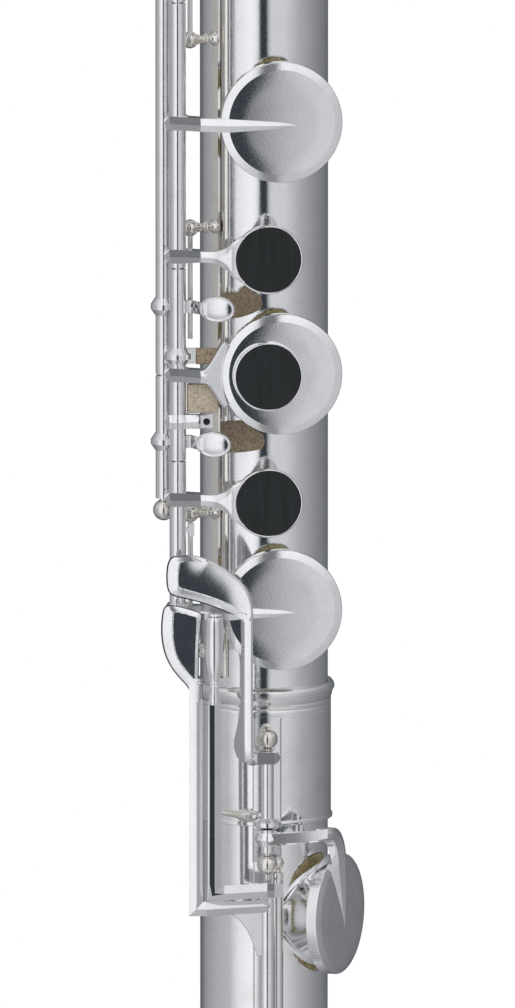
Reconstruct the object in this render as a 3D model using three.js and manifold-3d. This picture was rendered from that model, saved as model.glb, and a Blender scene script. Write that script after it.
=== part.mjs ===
// Bass flute with a bent head, standing on its foot end, built in millimetres with Z up.
// The tube's axis is the Z axis and the foot end's centre is the origin.
// The player's finger plates face -Y. An angle goes round Z from -Y, positive towards +X.
import * as THREE from 'three';
import { mergeVertices } from 'three/addons/utils/BufferGeometryUtils.js';
import Module from 'manifold-3d';

const wasm = await Module();
wasm.setup();

// Tube and joints
const boreRadius = 14.95;
const tubeWall = 0.55;
const tubeRadius = boreRadius + tubeWall;
const seatGap = 0.3;
const footLength = 235.7;
const bodyLength = 614;
const bodyBottom = footLength + seatGap;
const bodyTop = bodyBottom + bodyLength;

// Sockets
const socketWall = 0.6;
const socketInnerRadius = tubeRadius + seatGap;
const socketOuterRadius = socketInnerRadius + socketWall;
const footSocketBelowLength = 8.2;
const footSocketAboveLength = 25.3;
const ringRise = 0.7;
const ringHeight = 4.4;
const headSocketBelowLength = 14;
const headSocketAboveLength = 34;

// Tone holes, cups and pads, measured outwards from the tube's axis
const holeRadius = 11.3;
const chimneyWall = 0.9;
const chimneyRise = 1.5;
const chimneyTop = tubeRadius + chimneyRise;
const padSeatGap = 0.2;
const padThickness = 2.4;
const padClearance = 0.3;
const cupRadius = 14.7;
const cupWall = 0.8;
const cupSkirtHeight = 0.4;
const cupPlateThickness = 1.1;
const cupBevelWidth = 1.9;
const cupBevelDrop = 0.65;
const padBottom = chimneyTop + padSeatGap;
const padTop = padBottom + padThickness;
const cupCeiling = padTop + padClearance;
const cupFace = cupCeiling + cupPlateThickness;
const smallCupShare = 0.55;

// Tone holes up the body, and up the foot, as shares of each length
const holeShares = {
  d: 0.0739, e: 0.1676, f: 0.2674, fSharp: 0.3578, gLow: 0.443, gHigh: 0.5236,
  a: 0.5993, bFlat: 0.671, thumb: 0.7394, c: 0.8127, trillUpper: 0.873, trillLower: 0.9267,
};
const footHoleShares = { eFlat: 0.8685, cSharp: 0.5897, c: 0.2927 };
const smallHoles = ['c'];

// Angles round the tube, in degrees
const rowAngle = 12;
const thumbAngle = -175;
const sideAngle = 108;
const trillAngle = -112;
const eFlatAngle = 66;
const lowAngle = -64;
const openAngle = 6;

// Hinge rods: how far each axis stands from the tube, and its angle
const hingeRadius = 2;
const hingeBore = 1.25;
const steelRadius = 0.95;
const mainStandDistance = 14.56;
const mainAngle = -43.8;
const trillStandDistance = 14.4;
const trillRodAngle = -54.1;
const footStandDistance = 5.5;
const footRodAngle = 2.2;
const lowStandDistance = 2.9;
const lowRodAngle = 9.7;
const sideStandDistance = 14.6;
const collarRadius = 3.3;
const collarHeight = 4.2;
const collarFlatHeight = 1.2;
const endGap = 0.3;

// Stations of the main hinge, as shares of the body's length
const stationShares = {
  lowPost: 0.0562, dTop: 0.133, eTop: 0.2095, fTop: 0.3146, midPost: 0.3941,
  gTop: 0.5573, aTop: 0.6354, bFlatTop: 0.703, highPost: 0.7117, cTop: 0.8245, topPost: 0.8339,
};

// Posts and ribs
const ribThickness = 1.2;
const ribAngle = -45;
const ribSpread = 9;
const footRibSpread = 24;
const footRibCentre = 2.5;
const postRadius = 1.6;
const ballRadius = 2.6;
const springRadius = 0.6;

// Finger plates
const plateRadius = 8.4;
const inlayRadius = 7.7;
const inlayGap = 0.25;
const plateThickness = 2;
const pocketDepth = 1.1;
const inlayThickness = 0.9;
const plateRise = 3.2;
const plateOffset = -3.6;
const betweenShare = 0.465;

// Arms
const armHalfWidth = 1.75;
const armCrestHeight = 1.2;
const armTipReach = 3.7;
const nearCrestShare = 0.4;
const plateArmShares = { bend: 0.66, spread: 0.32, rim: 0.07, under: 0.4 };
const plateArmHalfShares = { spread: 1.12, rim: 0.55, under: 0.8 };
const forkStartShare = 1.6;
const forkRiseShare = 0.333;
const forkHalfShares = { rim: 0.33, under: 0.54 };

// Places and sizes of single keys and tabs
const cPlateShare = 0.36;
const thumbTouchShare = 1.35;
const thumbRibTurn = 60;
const tabRise = 0.4;
const tabThickness = 0.9;
const corkThickness = 1.1;
const brownTabRise = 4;
const brownTabHalfWidth = 1.9;
const paleTabDrop = 8;
const paleTabHalfWidth = 3.5;
const pinLength = 2.5;
const sideLowShare = 0.35;
const sideHighShare = 0.69;
const slantShare = 0.78;
const sideTouchHalfWidth = 4;
const sideTouchReach = 9;
const sideRodSwing = 55.8;

// Trill keys
const trillEndShare = 0.415;
const trillMeetShare = 0.985;
const partShare = 0.56;
const upperTouchShare = 0.261;
const lowerTouchShare = 0.706;
const upperTouchOffset = -11;
const lowerTouchOffset = -11.9;
const trillLiftHeight = 23.8;
const trillTouchWidth = 9;
const trillTouchHeight = 6.3;
const trillTouchDepth = 1.6;
const trillArmHalfWidth = 1.5;
const trillArmDepth = 2;
const trillArmEndShare = 0.4;
const trillArmClearShare = 1.6;

// Needle springs and their posts
const springPostShare = 1.3;
const upperSpringShare = 0.566;
const lowerSpringShare = 0.39;
const springAngle = -50.2;
const springStandDistance = 7.7;
const springLength = 27;
const springBallRadius = 2;

// Little finger keys
const touchLiftHeight = 12;
const touchThickness = 1.8;
const leverWidth = 2.4;
const leverDepth = 2.4;
const leverHalfWidth = 1.8;
const eFlatPostDrop = 11.3;
const eFlatHingeLength = 30.8;
const eFlatRootRise = 6.3;
const eFlatCollarRise = 7.4;
const eFlatShaftOffset = 4.9;
const eFlatTouchDrop = 1.4;
const eFlatTouchWidth = 20.9;
const eFlatTouchHeight = 15.4;
const eFlatBendShares = { outer: 0.82, inner: 0.3 };
const eFlatLeverShares = { dip: 1.8, rod: 1.3, end: 0.9 };
const footHingeRadius = 1.6;
const footPostDrop = 10.2;
const footRibThickness = 0.7;
const slimBallRadius = 2;
const slimPostRadius = 1.2;
const cSharpHingeRadius = 1.93;
const cSharpHingeDrop = 7.9;
const cSharpShaftOffset = -16.45;
const cSharpShaftHalfWidth = 1.7;
const cSharpTouchDrop = 18.1;
const cSharpTouchWidth = 10.3;
const cSharpTouchHeight = 20.1;
const cSharpTouchLeftShare = 0.85;
const leverEndShare = 0.95;
const webEndShare = 0.9;
const footRibEndShare = 1.7;
const cShaftOffset = -12;
const cShaftHalfWidth = 1.55;
const rollerRadius = 2.2;
const rollerLength = 15.4;
const rollerPinRadius = 0.9;
const rollerDrop = 0.6;
const forkThickness = 0.6;

// Head
const headInsertLength = 32;
const headTubeLength = 148;
const bendRadius = 38;
const bendSocketLength = 24;
const bendLipLength = 2;
const returnLength = 200;
const embouchureShare = 0.25;
const embouchureWidth = 12.4;
const embouchureHeight = 10.6;
const riserWall = 1.2;
const lipRise = 5;
const lipWall = 0.9;
const lipHalfWidth = 15.9;
const lipHeight = 62;
const stopperLength = 12;
const stopperClearance = 2;
const crownHeight = 18;
const crownRise = 0.9;
const crownPlugLength = 6;
const crownTipShare = 0.7;
const screwReachShare = 0.667;
const screwRadius = 2.7;

// Facets
const tubeSides = 24;
const cupSides = 16;
const rodSides = 8;
const ballSides = 8;
const bendSteps = 9;
const overrunLength = 1;
const weldDistance = 1e-4;

// Colours
const silver = { color: 0xdcdde0, roughness: 0.08, metalness: 1 };
const steel = { color: 0xb9bcc0, roughness: 0.2, metalness: 1 };
const padSkin = { color: 0xb59b6c, roughness: 0.6, metalness: 0 };
const cork = { color: 0x9a7448, roughness: 0.9, metalness: 0 };
const paleCork = { color: 0xc2ac86, roughness: 0.9, metalness: 0 };
const gloss = { color: 0x14161a, roughness: 0.06, metalness: 0 };

const radians = THREE.MathUtils.degToRad;
const flute = new THREE.Group();

// Solids

function signedVolume(positions, index) {
  let sum = 0;
  const a = new THREE.Vector3();
  const b = new THREE.Vector3();
  const c = new THREE.Vector3();
  for (let i = 0; i < index.length; i += 3) {
    a.fromArray(positions, index[i] * 3);
    b.fromArray(positions, index[i + 1] * 3);
    c.fromArray(positions, index[i + 2] * 3);
    sum += a.dot(b.cross(c));
  }
  return sum;
}

function toSolid(geometry) {
  const bare = geometry.clone();
  bare.deleteAttribute('normal');
  bare.deleteAttribute('uv');
  const merged = mergeVertices(bare, weldDistance);
  const corners = merged.index.array;
  const kept = [];
  for (let i = 0; i < corners.length; i += 3) {
    const [a, b, c] = [corners[i], corners[i + 1], corners[i + 2]];
    if (a !== b && b !== c && a !== c) kept.push(a, b, c);
  }
  const vertProperties = new Float32Array(merged.attributes.position.array);
  if (signedVolume(vertProperties, kept) < 0) {
    kept.reverse();
  }
  const triVerts = new Uint32Array(kept);
  return new wasm.Manifold(new wasm.Mesh({ numProp: 3, vertProperties, triVerts }));
}

function join(geometries) {
  return geometries.map(toSolid).reduce((sum, next) => sum.add(next));
}

function cut(solid, geometries) {
  return geometries.map(toSolid).reduce((rest, next) => rest.subtract(next), solid);
}

function piece(name, solid, look) {
  const mesh = solid.getMesh();
  const geometry = new THREE.BufferGeometry();
  const positions = new Float32Array(mesh.vertProperties);
  geometry.setAttribute('position', new THREE.BufferAttribute(positions, mesh.numProp));
  geometry.setIndex(new THREE.BufferAttribute(new Uint32Array(mesh.triVerts), 1));
  geometry.computeVertexNormals();
  const result = new THREE.Mesh(geometry, new THREE.MeshStandardMaterial(look));
  result.name = name;
  return result;
}

// Profiles are lists of radius and height, turned round the Z axis
function turned(profile, sides = tubeSides) {
  const points = profile.map(([radius, height]) => new THREE.Vector2(radius, height));
  const geometry = new THREE.LatheGeometry(points, sides);
  return geometry.rotateX(Math.PI / 2);
}

function disc(radius, bottom, top, sides = tubeSides) {
  return turned([[0, top], [radius, top], [radius, bottom], [0, bottom]], sides);
}

function ring(outer, inner, bottom, top, sides = tubeSides) {
  return turned([[outer, bottom], [outer, top], [inner, top], [inner, bottom], [outer, bottom]], sides);
}

// A shape turned round Z is laid so that its height points away from the tube, at a height up it
function facing(geometry, height, across = 0) {
  return geometry.rotateX(Math.PI / 2).translate(across, 0, height);
}

function rodAt(point, radius, bottom, top, sides = rodSides) {
  return disc(radius, bottom, top, sides).translate(point.x, point.y, 0);
}

function ballAt(point, height, radius = ballRadius) {
  return new THREE.SphereGeometry(radius, ballSides, ballSides / 2).translate(point.x, point.y, height);
}

// Each section is a closed outline of the same number of points, and its ends are capped
function loft(sections) {
  const count = sections[0].length;
  const positions = sections.flat().flatMap((point) => [point.x, point.y, point.z]);
  const index = [];
  for (let row = 0; row + 1 < sections.length; row += 1) {
    for (let i = 0; i < count; i += 1) {
      const here = row * count + i;
      const beside = row * count + (i + 1) % count;
      index.push(here, beside, beside + count);
      index.push(here, beside + count, here + count);
    }
  }
  const last = (sections.length - 1) * count;
  for (let i = 1; i + 1 < count; i += 1) {
    index.push(0, i + 1, i);
    index.push(last, last + i, last + i + 1);
  }
  const geometry = new THREE.BufferGeometry();
  geometry.setAttribute('position', new THREE.Float32BufferAttribute(positions, 3));
  geometry.setIndex(index);
  return geometry;
}

function strut(from, to, radius, sides = rodSides) {
  const along = new THREE.Vector3().subVectors(to, from);
  const up = new THREE.Vector3(0, 0, 1);
  const turnTo = new THREE.Quaternion().setFromUnitVectors(up, along.clone().normalize());
  const geometry = disc(radius, 0, along.length(), sides);
  return geometry.applyQuaternion(turnTo).translate(from.x, from.y, from.z);
}

// Places

function polar(angle, radius) {
  return { x: Math.sin(radians(angle)) * radius, y: -Math.cos(radians(angle)) * radius };
}

// A point of the flute's frame, seen from a frame turned by an angle round the tube
function seenFrom(frameAngle, point) {
  const turnBack = radians(-frameAngle);
  return {
    x: point.x * Math.cos(turnBack) - point.y * Math.sin(turnBack),
    y: point.x * Math.sin(turnBack) + point.y * Math.cos(turnBack),
  };
}

function bodyHeight(share) {
  return bodyBottom + bodyLength * share;
}

function footHeight(share) {
  return footLength * share;
}

function between(low, high, share) {
  return low + (high - low) * share;
}

const mainRod = polar(mainAngle, tubeRadius + mainStandDistance);
const trillRod = polar(trillRodAngle, tubeRadius + trillStandDistance);
const footRod = polar(footRodAngle, tubeRadius + footStandDistance);
const lowRod = polar(lowRodAngle, tubeRadius + lowStandDistance);
const sideRod = polar(sideAngle - sideRodSwing, tubeRadius + sideStandDistance);
const thumbRod = polar(thumbAngle + sideRodSwing, tubeRadius + sideStandDistance);

function heights(shares, heightOf) {
  return Object.fromEntries(Object.entries(shares).map(([key, share]) => [key, heightOf(share)]));
}

const hole = heights(holeShares, bodyHeight);
const footHole = heights(footHoleShares, footHeight);
const station = heights(stationShares, bodyHeight);

// Adds pieces built closed in a frame turned round the tube, swung open about their rod
function hang(frameAngle, rod, swing, meshes) {
  const frame = new THREE.Group();
  frame.rotation.z = radians(frameAngle);
  const hinge = new THREE.Group();
  hinge.position.set(rod.x, rod.y, 0);
  hinge.rotation.z = radians(swing);
  for (const mesh of meshes) {
    mesh.position.set(-rod.x, -rod.y, 0);
    hinge.add(mesh);
  }
  frame.add(hinge);
  flute.add(frame);
}

// Cups, pads and hinges

function cup(height, share = 1) {
  const radius = cupRadius * share;
  return facing(turned([
    [0, cupFace],
    [radius - cupBevelWidth, cupFace],
    [radius, cupFace - cupBevelDrop],
    [radius, padBottom + cupSkirtHeight],
    [radius - cupWall, padBottom + cupSkirtHeight],
    [radius - cupWall, cupCeiling],
    [0, cupCeiling],
  ], cupSides), height);
}

function pad(name, height, share = 1) {
  const radius = cupRadius * share - cupWall - padClearance;
  return piece(name, toSolid(facing(disc(radius, padBottom, padTop, cupSides), height)), padSkin);
}

function collar(rod, height, radius = collarRadius) {
  const half = collarHeight / 2;
  const flat = collarFlatHeight / 2;
  return turned([
    [0, half], [hingeRadius, half], [radius, flat], [radius, -flat], [hingeRadius, -half], [0, -half],
  ], rodSides).translate(rod.x, rod.y, height);
}

function hinge(rod, bottom, top) {
  return rodAt(rod, hingeRadius, bottom, top);
}

function boreThrough(rod, bottom, top, radius = hingeBore) {
  return rodAt(rod, radius, bottom - overrunLength, top + overrunLength);
}

// An arm's stations hold how far across it is, its half width, its underside, its crest and its climb
function arm(stations, height, crown = 0) {
  return loft(stations.map(([across, half, low, high, climb = 0]) => {
    const middle = height + climb;
    const shoulder = high - crown;
    const corners = [[low, -half], [low, half], [shoulder, half], [shoulder, -half]];
    if (crown > 0) corners.splice(3, 0, [high, 0]);
    return corners.map(([out, aside]) => new THREE.Vector3(across, -out, middle + aside));
  }));
}

// A slim arm that ends in a point past the cup's middle
function pointedArm(rod, height, share = 1) {
  const side = Math.sign(rod.x);
  const rodOut = -rod.y;
  const edge = cupRadius * share;
  const crest = cupFace + armCrestHeight;
  const nearCrest = cupFace + armCrestHeight * nearCrestShare;
  return arm([
    [rod.x, armHalfWidth, rodOut - hingeRadius / 2, rodOut + hingeRadius],
    [side * (edge + cupBevelDrop), armHalfWidth, cupCeiling - cupWall, nearCrest],
    [side * (edge - cupWall - padClearance), armHalfWidth, cupCeiling + cupWall / 2, nearCrest],
    [0, armHalfWidth, cupCeiling + cupWall / 2, crest],
    [-side * armTipReach, armHalfWidth / 5, cupCeiling + cupWall / 2, cupFace + padSeatGap],
  ], height, cupWall);
}

// An arm that spreads to meet the rim of a finger plate
function plateArm(rod, height, under, top) {
  const rodOut = -rod.y;
  const width = hingeRadius;
  const start = plateOffset - plateRadius;
  const share = plateArmShares;
  const halfShare = plateArmHalfShares;
  return arm([
    [rod.x, width, rodOut - hingeRadius / 2, rodOut + hingeRadius],
    [start - plateRadius * share.bend, width, under - plateThickness, top - plateThickness],
    [start - plateRadius * share.spread, width * halfShare.spread, under - cupWall, top - cupWall],
    [start + plateRadius * share.rim, plateRadius * halfShare.rim, under, top],
    [start + plateRadius * share.under, plateRadius * halfShare.under, under, top],
  ], height);
}

// A forked arm that hugs the near edge of a cup
function forkedArm(rod, height) {
  const rodOut = -rod.y;
  const width = hingeRadius;
  const crest = cupFace + armCrestHeight * forkRiseShare;
  return arm([
    [rod.x, width, rodOut - hingeRadius / 2, rodOut + hingeRadius],
    [-cupRadius - width * forkStartShare, width, cupCeiling - cupPlateThickness, crest],
    [-cupRadius - cupBevelDrop / 2, cupRadius * forkHalfShares.rim, cupCeiling - cupPlateThickness, crest],
    [-cupRadius + cupWall + padClearance, cupRadius * forkHalfShares.under, cupCeiling + cupWall / 2, crest],
  ], height);
}

const plateUnder = cupFace + plateRise - plateThickness;
const plateFace = cupFace + plateRise;

function plateDisc(height, bottom = plateUnder) {
  return facing(disc(plateRadius, bottom, plateFace, cupSides), height, plateOffset);
}

function platePocket(height) {
  const radius = inlayRadius + inlayGap;
  const space = disc(radius, plateFace - pocketDepth, plateFace + overrunLength, cupSides);
  return facing(space, height, plateOffset);
}

function inlay(name, height) {
  const bottom = plateFace - pocketDepth + inlayGap;
  const shape = disc(inlayRadius, bottom, bottom + inlayThickness, cupSides);
  return piece(name, toSolid(facing(shape, height, plateOffset)), gloss);
}

// Tubes with tone holes

function chimney(height, angle, share = 1) {
  const radius = holeRadius * share + chimneyWall;
  return facing(disc(radius, tubeRadius / 2, chimneyTop, cupSides), height).rotateZ(radians(angle));
}

function holeCut(height, angle, share = 1) {
  const space = disc(holeRadius * share, 0, chimneyTop + overrunLength, cupSides);
  return facing(space, height).rotateZ(radians(angle));
}

function toneTube(bottom, top, holes) {
  const tube = join([disc(tubeRadius, bottom, top), ...holes.map((one) => chimney(...one))]);
  const bore = disc(boreRadius, bottom - overrunLength, top + overrunLength);
  return cut(tube, [bore, ...holes.map((one) => holeCut(...one))]);
}

function makeTubes() {
  const rowKeys = ['d', 'e', 'f', 'fSharp', 'gLow', 'gHigh', 'a', 'bFlat', 'c'];
  const shareOf = (key) => (smallHoles.includes(key) ? smallCupShare : 1);
  const rowHoles = rowKeys.map((key) => [hole[key], rowAngle, shareOf(key)]);
  const bodyHoles = [
    ...rowHoles,
    [hole.thumb, thumbAngle],
    [hole.gLow, sideAngle],
    [hole.trillUpper, trillAngle, smallCupShare],
    [hole.trillLower, trillAngle, smallCupShare],
  ];
  const footHoles = [
    [footHole.eFlat, eFlatAngle],
    [footHole.cSharp, lowAngle],
    [footHole.c, lowAngle],
  ];
  const footEnd = ring(tubeRadius + ringRise, boreRadius, 0, ringHeight);
  const footTube = toneTube(0, footLength, footHoles).add(toSolid(footEnd));
  flute.add(piece('body_tube', toneTube(bodyBottom, bodyTop, bodyHoles), silver));
  flute.add(piece('foot_tube', footTube, silver));
}

function socket(bottom, top) {
  const bead = socketOuterRadius + ringRise;
  return turned([
    [socketInnerRadius, bottom],
    [socketOuterRadius, bottom],
    [socketOuterRadius, top - ringHeight],
    [bead, top - ringHeight / 2],
    [socketOuterRadius, top],
    [socketInnerRadius, top],
    [socketInnerRadius, bottom],
  ]);
}

const footSocketBottom = footLength - footSocketBelowLength;
const footSocketTop = footLength + footSocketAboveLength;
const headSocketTop = bodyTop + headSocketAboveLength;

function makeSockets() {
  flute.add(piece('foot_socket', toSolid(socket(footSocketBottom, footSocketTop)), silver));
  flute.add(piece('head_socket', toSolid(socket(bodyTop - headSocketBelowLength, headSocketTop)), silver));
}

// A strap that follows the tube, between two radii and two angles
function strap(inner, outer, centre, spread, bottom, top) {
  const shape = new THREE.Shape();
  const start = radians(centre - spread / 2 - 90);
  const end = radians(centre + spread / 2 - 90);
  shape.absarc(0, 0, outer, start, end, false);
  shape.absarc(0, 0, inner, end, start, true);
  const geometry = new THREE.ExtrudeGeometry(shape, {
    depth: top - bottom, bevelEnabled: false, curveSegments: 3,
  });
  return geometry.translate(0, 0, bottom);
}

// A post stands on the rib and ends in a ball round the rod
function post(rod, height, footAngle, footRadius, ball = ballRadius, radius = postRadius) {
  const foot = polar(footAngle, footRadius);
  const from = new THREE.Vector3(foot.x, foot.y, height);
  const to = new THREE.Vector3(rod.x, rod.y, height);
  return [strut(from, to, radius), ballAt(rod, height, ball)];
}

const ribInner = tubeRadius + seatGap;
const ribOuter = ribInner + ribThickness;
const trillTop = hole.trillLower + cupRadius * smallCupShare;
const trillLowEnd = between(hole.d, hole.e, trillEndShare);
const trillHighEnd = trillTop + ballRadius * 2;
const trillMeet = between(hole.d, hole.e, trillMeetShare);
const trillPart = between(hole.trillUpper, hole.trillLower, partShare);
const springPoint = polar(springAngle, springStandDistance + tubeRadius);
const springHeights = [
  hole.f + cupRadius * springPostShare,
  between(hole.e, hole.f, upperSpringShare),
  between(hole.d, hole.e, lowerSpringShare),
];

function makeBodyRib() {
  const bottom = footSocketTop + ringHeight / 2;
  const top = trillTop + cupRadius;
  const footRadius = ribOuter - ribThickness / 2;
  const mainPosts = ['lowPost', 'midPost', 'highPost', 'topPost'].map((key) => station[key]);
  const shapes = [strap(ribInner, ribOuter, ribAngle, ribSpread, bottom, top)];
  for (const height of mainPosts) {
    shapes.push(...post(mainRod, height, ribAngle, footRadius));
  }
  for (const height of [trillLowEnd, trillHighEnd]) {
    shapes.push(...post(trillRod, height, ribAngle - ribSpread / 4, footRadius));
  }
  for (const height of springHeights) {
    shapes.push(...post(springPoint, height, ribAngle, footRadius, springBallRadius));
  }
  const springHole = springRadius + seatGap;
  const solid = cut(join(shapes), [
    boreThrough(mainRod, station.lowPost - ballRadius, station.topPost + ballRadius),
    boreThrough(trillRod, trillLowEnd - ballRadius, trillHighEnd + ballRadius),
    ...springHeights.map((one) => rodAt(springPoint, springHole, one - ballRadius, one + ballRadius)),
  ]);
  flute.add(piece('body_rib', solid, silver));
}

function makeSprings() {
  const [high, middle, low] = springHeights;
  const spans = {
    spring_high: [high - postRadius, high + springLength],
    spring_middle: [middle - springLength, middle + postRadius],
    spring_low: [low - springLength, low + postRadius],
  };
  for (const [name, [bottom, top]] of Object.entries(spans)) {
    flute.add(piece(name, toSolid(rodAt(springPoint, springRadius, bottom, top)), steel));
  }
}

function makeSteels() {
  const end = ballRadius - endGap;
  const spans = {
    main_steel: [mainRod, station.lowPost - end, station.topPost + end],
    foot_steel: [footRod, cSharpPost - end, eFlatPost + end],
  };
  for (const [name, [rod, bottom, top]] of Object.entries(spans)) {
    flute.add(piece(name, toSolid(rodAt(rod, steelRadius, bottom, top)), steel));
  }
}

// Keys of the main row

function rowKey(name, bottom, top, shapes) {
  const rod = seenFrom(rowAngle, mainRod);
  const solid = join([hinge(rod, bottom, top), ...shapes]);
  return piece(name, cut(solid, [boreThrough(rod, bottom, top)]), silver);
}

function hangRow(meshes) {
  hang(rowAngle, seenFrom(rowAngle, mainRod), -openAngle, meshes);
}

function clearOf(height) {
  return height + ballRadius + endGap;
}

function plainCupShapes(height, share = 1) {
  const rod = seenFrom(rowAngle, mainRod);
  return [cup(height, share), pointedArm(rod, height, share), collar(rod, height)];
}

function plateShapes(height) {
  const rod = seenFrom(rowAngle, mainRod);
  return [plateDisc(height), plateArm(rod, height, plateUnder, plateFace), collar(rod, height)];
}

function keyWithPlate(name, bottom, top, cupHeights, plateHeight, share = 1) {
  const rod = seenFrom(rowAngle, mainRod);
  const cups = cupHeights.flatMap((height) => plainCupShapes(height, share));
  const shapes = [...cups, ...plateShapes(plateHeight)];
  const solid = cut(join([hinge(rod, bottom, top), ...shapes]), [
    boreThrough(rod, bottom, top),
    platePocket(plateHeight),
  ]);
  return piece(name, solid, silver);
}

function keyWithBoss(name, bottom, top, height, extras = []) {
  const rod = seenFrom(rowAngle, mainRod);
  const shapes = [
    hinge(rod, bottom, top), cup(height), plateDisc(height, cupCeiling + cupPlateThickness / 2),
    forkedArm(rod, height), collar(rod, height), ...extras,
  ];
  return piece(name, cut(join(shapes), [boreThrough(rod, bottom, top), platePocket(height)]), silver);
}

// Flat tabs that reach from the hinge towards the tube, each with a cork under it
function tabSpan(rod) {
  return { near: rod.x, far: -cupRadius - cupWall, under: -rod.y + tabRise };
}

function tab(rod, height, half) {
  const { near, far, under } = tabSpan(rod);
  return arm([[near, half, under, under + tabThickness], [far, half, under, under + tabThickness]], height);
}

function tabCork(name, rod, height, half, look) {
  const { far, under } = tabSpan(rod);
  const top = under - seatGap;
  const bottom = top - corkThickness;
  const near = rod.x + collarRadius + seatGap;
  return piece(name, toSolid(arm([[near, half, bottom, top], [far, half, bottom, top]], height)), look);
}

function makeRow() {
  const rod = seenFrom(rowAngle, mainRod);
  const lowStart = clearOf(station.lowPost);
  const midStart = clearOf(station.midPost);
  const highStart = clearOf(station.highPost);
  const dPlate = between(hole.d, hole.e, betweenShare);
  const fPlate = between(hole.e, hole.f, betweenShare);
  const gPlate = between(hole.gLow, hole.gHigh, 1 / 2);
  const cPlate = between(hole.bFlat, hole.c, cPlateShare);
  hangRow([
    keyWithPlate('key_d', lowStart, station.dTop, [hole.d], dPlate),
    pad('pad_d', hole.d),
    inlay('inlay_d', dPlate),
  ]);
  const brownTab = hole.e + brownTabRise;
  const paleTab = hole.e - paleTabDrop;
  const tabs = [
    collar(rod, brownTab),
    tab(rod, brownTab, brownTabHalfWidth),
    tab(rod, paleTab, paleTabHalfWidth),
  ];
  hangRow([
    keyWithBoss('key_e', station.dTop + endGap, station.eTop, hole.e, tabs),
    pad('pad_e', hole.e),
    inlay('inlay_e', hole.e),
    tabCork('cork_brown', rod, brownTab, brownTabHalfWidth, cork),
    tabCork('cork_pale', rod, paleTab, paleTabHalfWidth, paleCork),
  ]);
  hangRow([
    keyWithPlate('key_f', station.eTop + endGap, station.fTop, [hole.f], fPlate),
    pad('pad_f', hole.f),
    inlay('inlay_f', fPlate),
  ]);
  const fSharpTop = station.midPost - ballRadius - endGap;
  hangRow([
    rowKey('key_f_sharp', station.fTop + endGap, fSharpTop, plainCupShapes(hole.fSharp)),
    pad('pad_f_sharp', hole.fSharp),
  ]);
  hangRow([
    keyWithPlate('key_g', midStart, station.gTop, [hole.gLow, hole.gHigh], gPlate),
    pad('pad_g_low', hole.gLow),
    pad('pad_g_high', hole.gHigh),
    inlay('inlay_g', gPlate),
  ]);
  hangRow([
    keyWithBoss('key_a', station.gTop + endGap, station.aTop, hole.a),
    pad('pad_a', hole.a),
    inlay('inlay_a', hole.a),
  ]);
  hangRow([
    rowKey('key_b_flat', station.aTop + endGap, station.bFlatTop, plainCupShapes(hole.bFlat)),
    pad('pad_b_flat', hole.bFlat),
  ]);
  hangRow([
    keyWithPlate('key_c', highStart, station.cTop, [hole.c], cPlate, smallCupShare),
    pad('pad_c', hole.c, smallCupShare),
    inlay('inlay_c', cPlate),
  ]);
}

// Keys on the back, the side and the trill rod

function pinnedPosts(rod, low, high, footAngle) {
  const footRadius = ribOuter - ribThickness / 2;
  const pinReach = ballRadius + pinLength;
  return [
    strap(ribInner, ribOuter, footAngle, ribSpread, low - ballRadius, high + ballRadius),
    ...post(rod, low, footAngle, footRadius),
    ...post(rod, high, footAngle, footRadius),
    rodAt(rod, steelRadius, low, low + pinReach),
    rodAt(rod, steelRadius, high - pinReach, high),
  ];
}

function makeThumbKey() {
  const low = hole.thumb - cupRadius * 2;
  const high = hole.thumb + cupRadius * 2;
  flute.add(piece('thumb_rib', join(pinnedPosts(thumbRod, low, high, thumbAngle + thumbRibTurn)), silver));
  const rod = seenFrom(thumbAngle, thumbRod);
  const touchHeight = hole.thumb - cupRadius * thumbTouchShare;
  const touch = facing(disc(plateRadius, plateUnder, plateFace, cupSides), touchHeight);
  const reach = [
    [rod.x, armHalfWidth, -rod.y - hingeRadius / 2, -rod.y + hingeRadius],
    [plateRadius / 2, armHalfWidth, plateUnder, plateFace],
  ];
  const bottom = clearOf(low);
  const top = high - ballRadius - endGap;
  const solid = join([
    hinge(rod, bottom, top), cup(hole.thumb), pointedArm(rod, hole.thumb), collar(rod, hole.thumb),
    touch, arm(reach, touchHeight),
  ]);
  hang(thumbAngle, rod, openAngle, [
    piece('thumb_key', cut(solid, [boreThrough(rod, bottom, top)]), silver),
    pad('pad_thumb', hole.thumb),
  ]);
}

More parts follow.
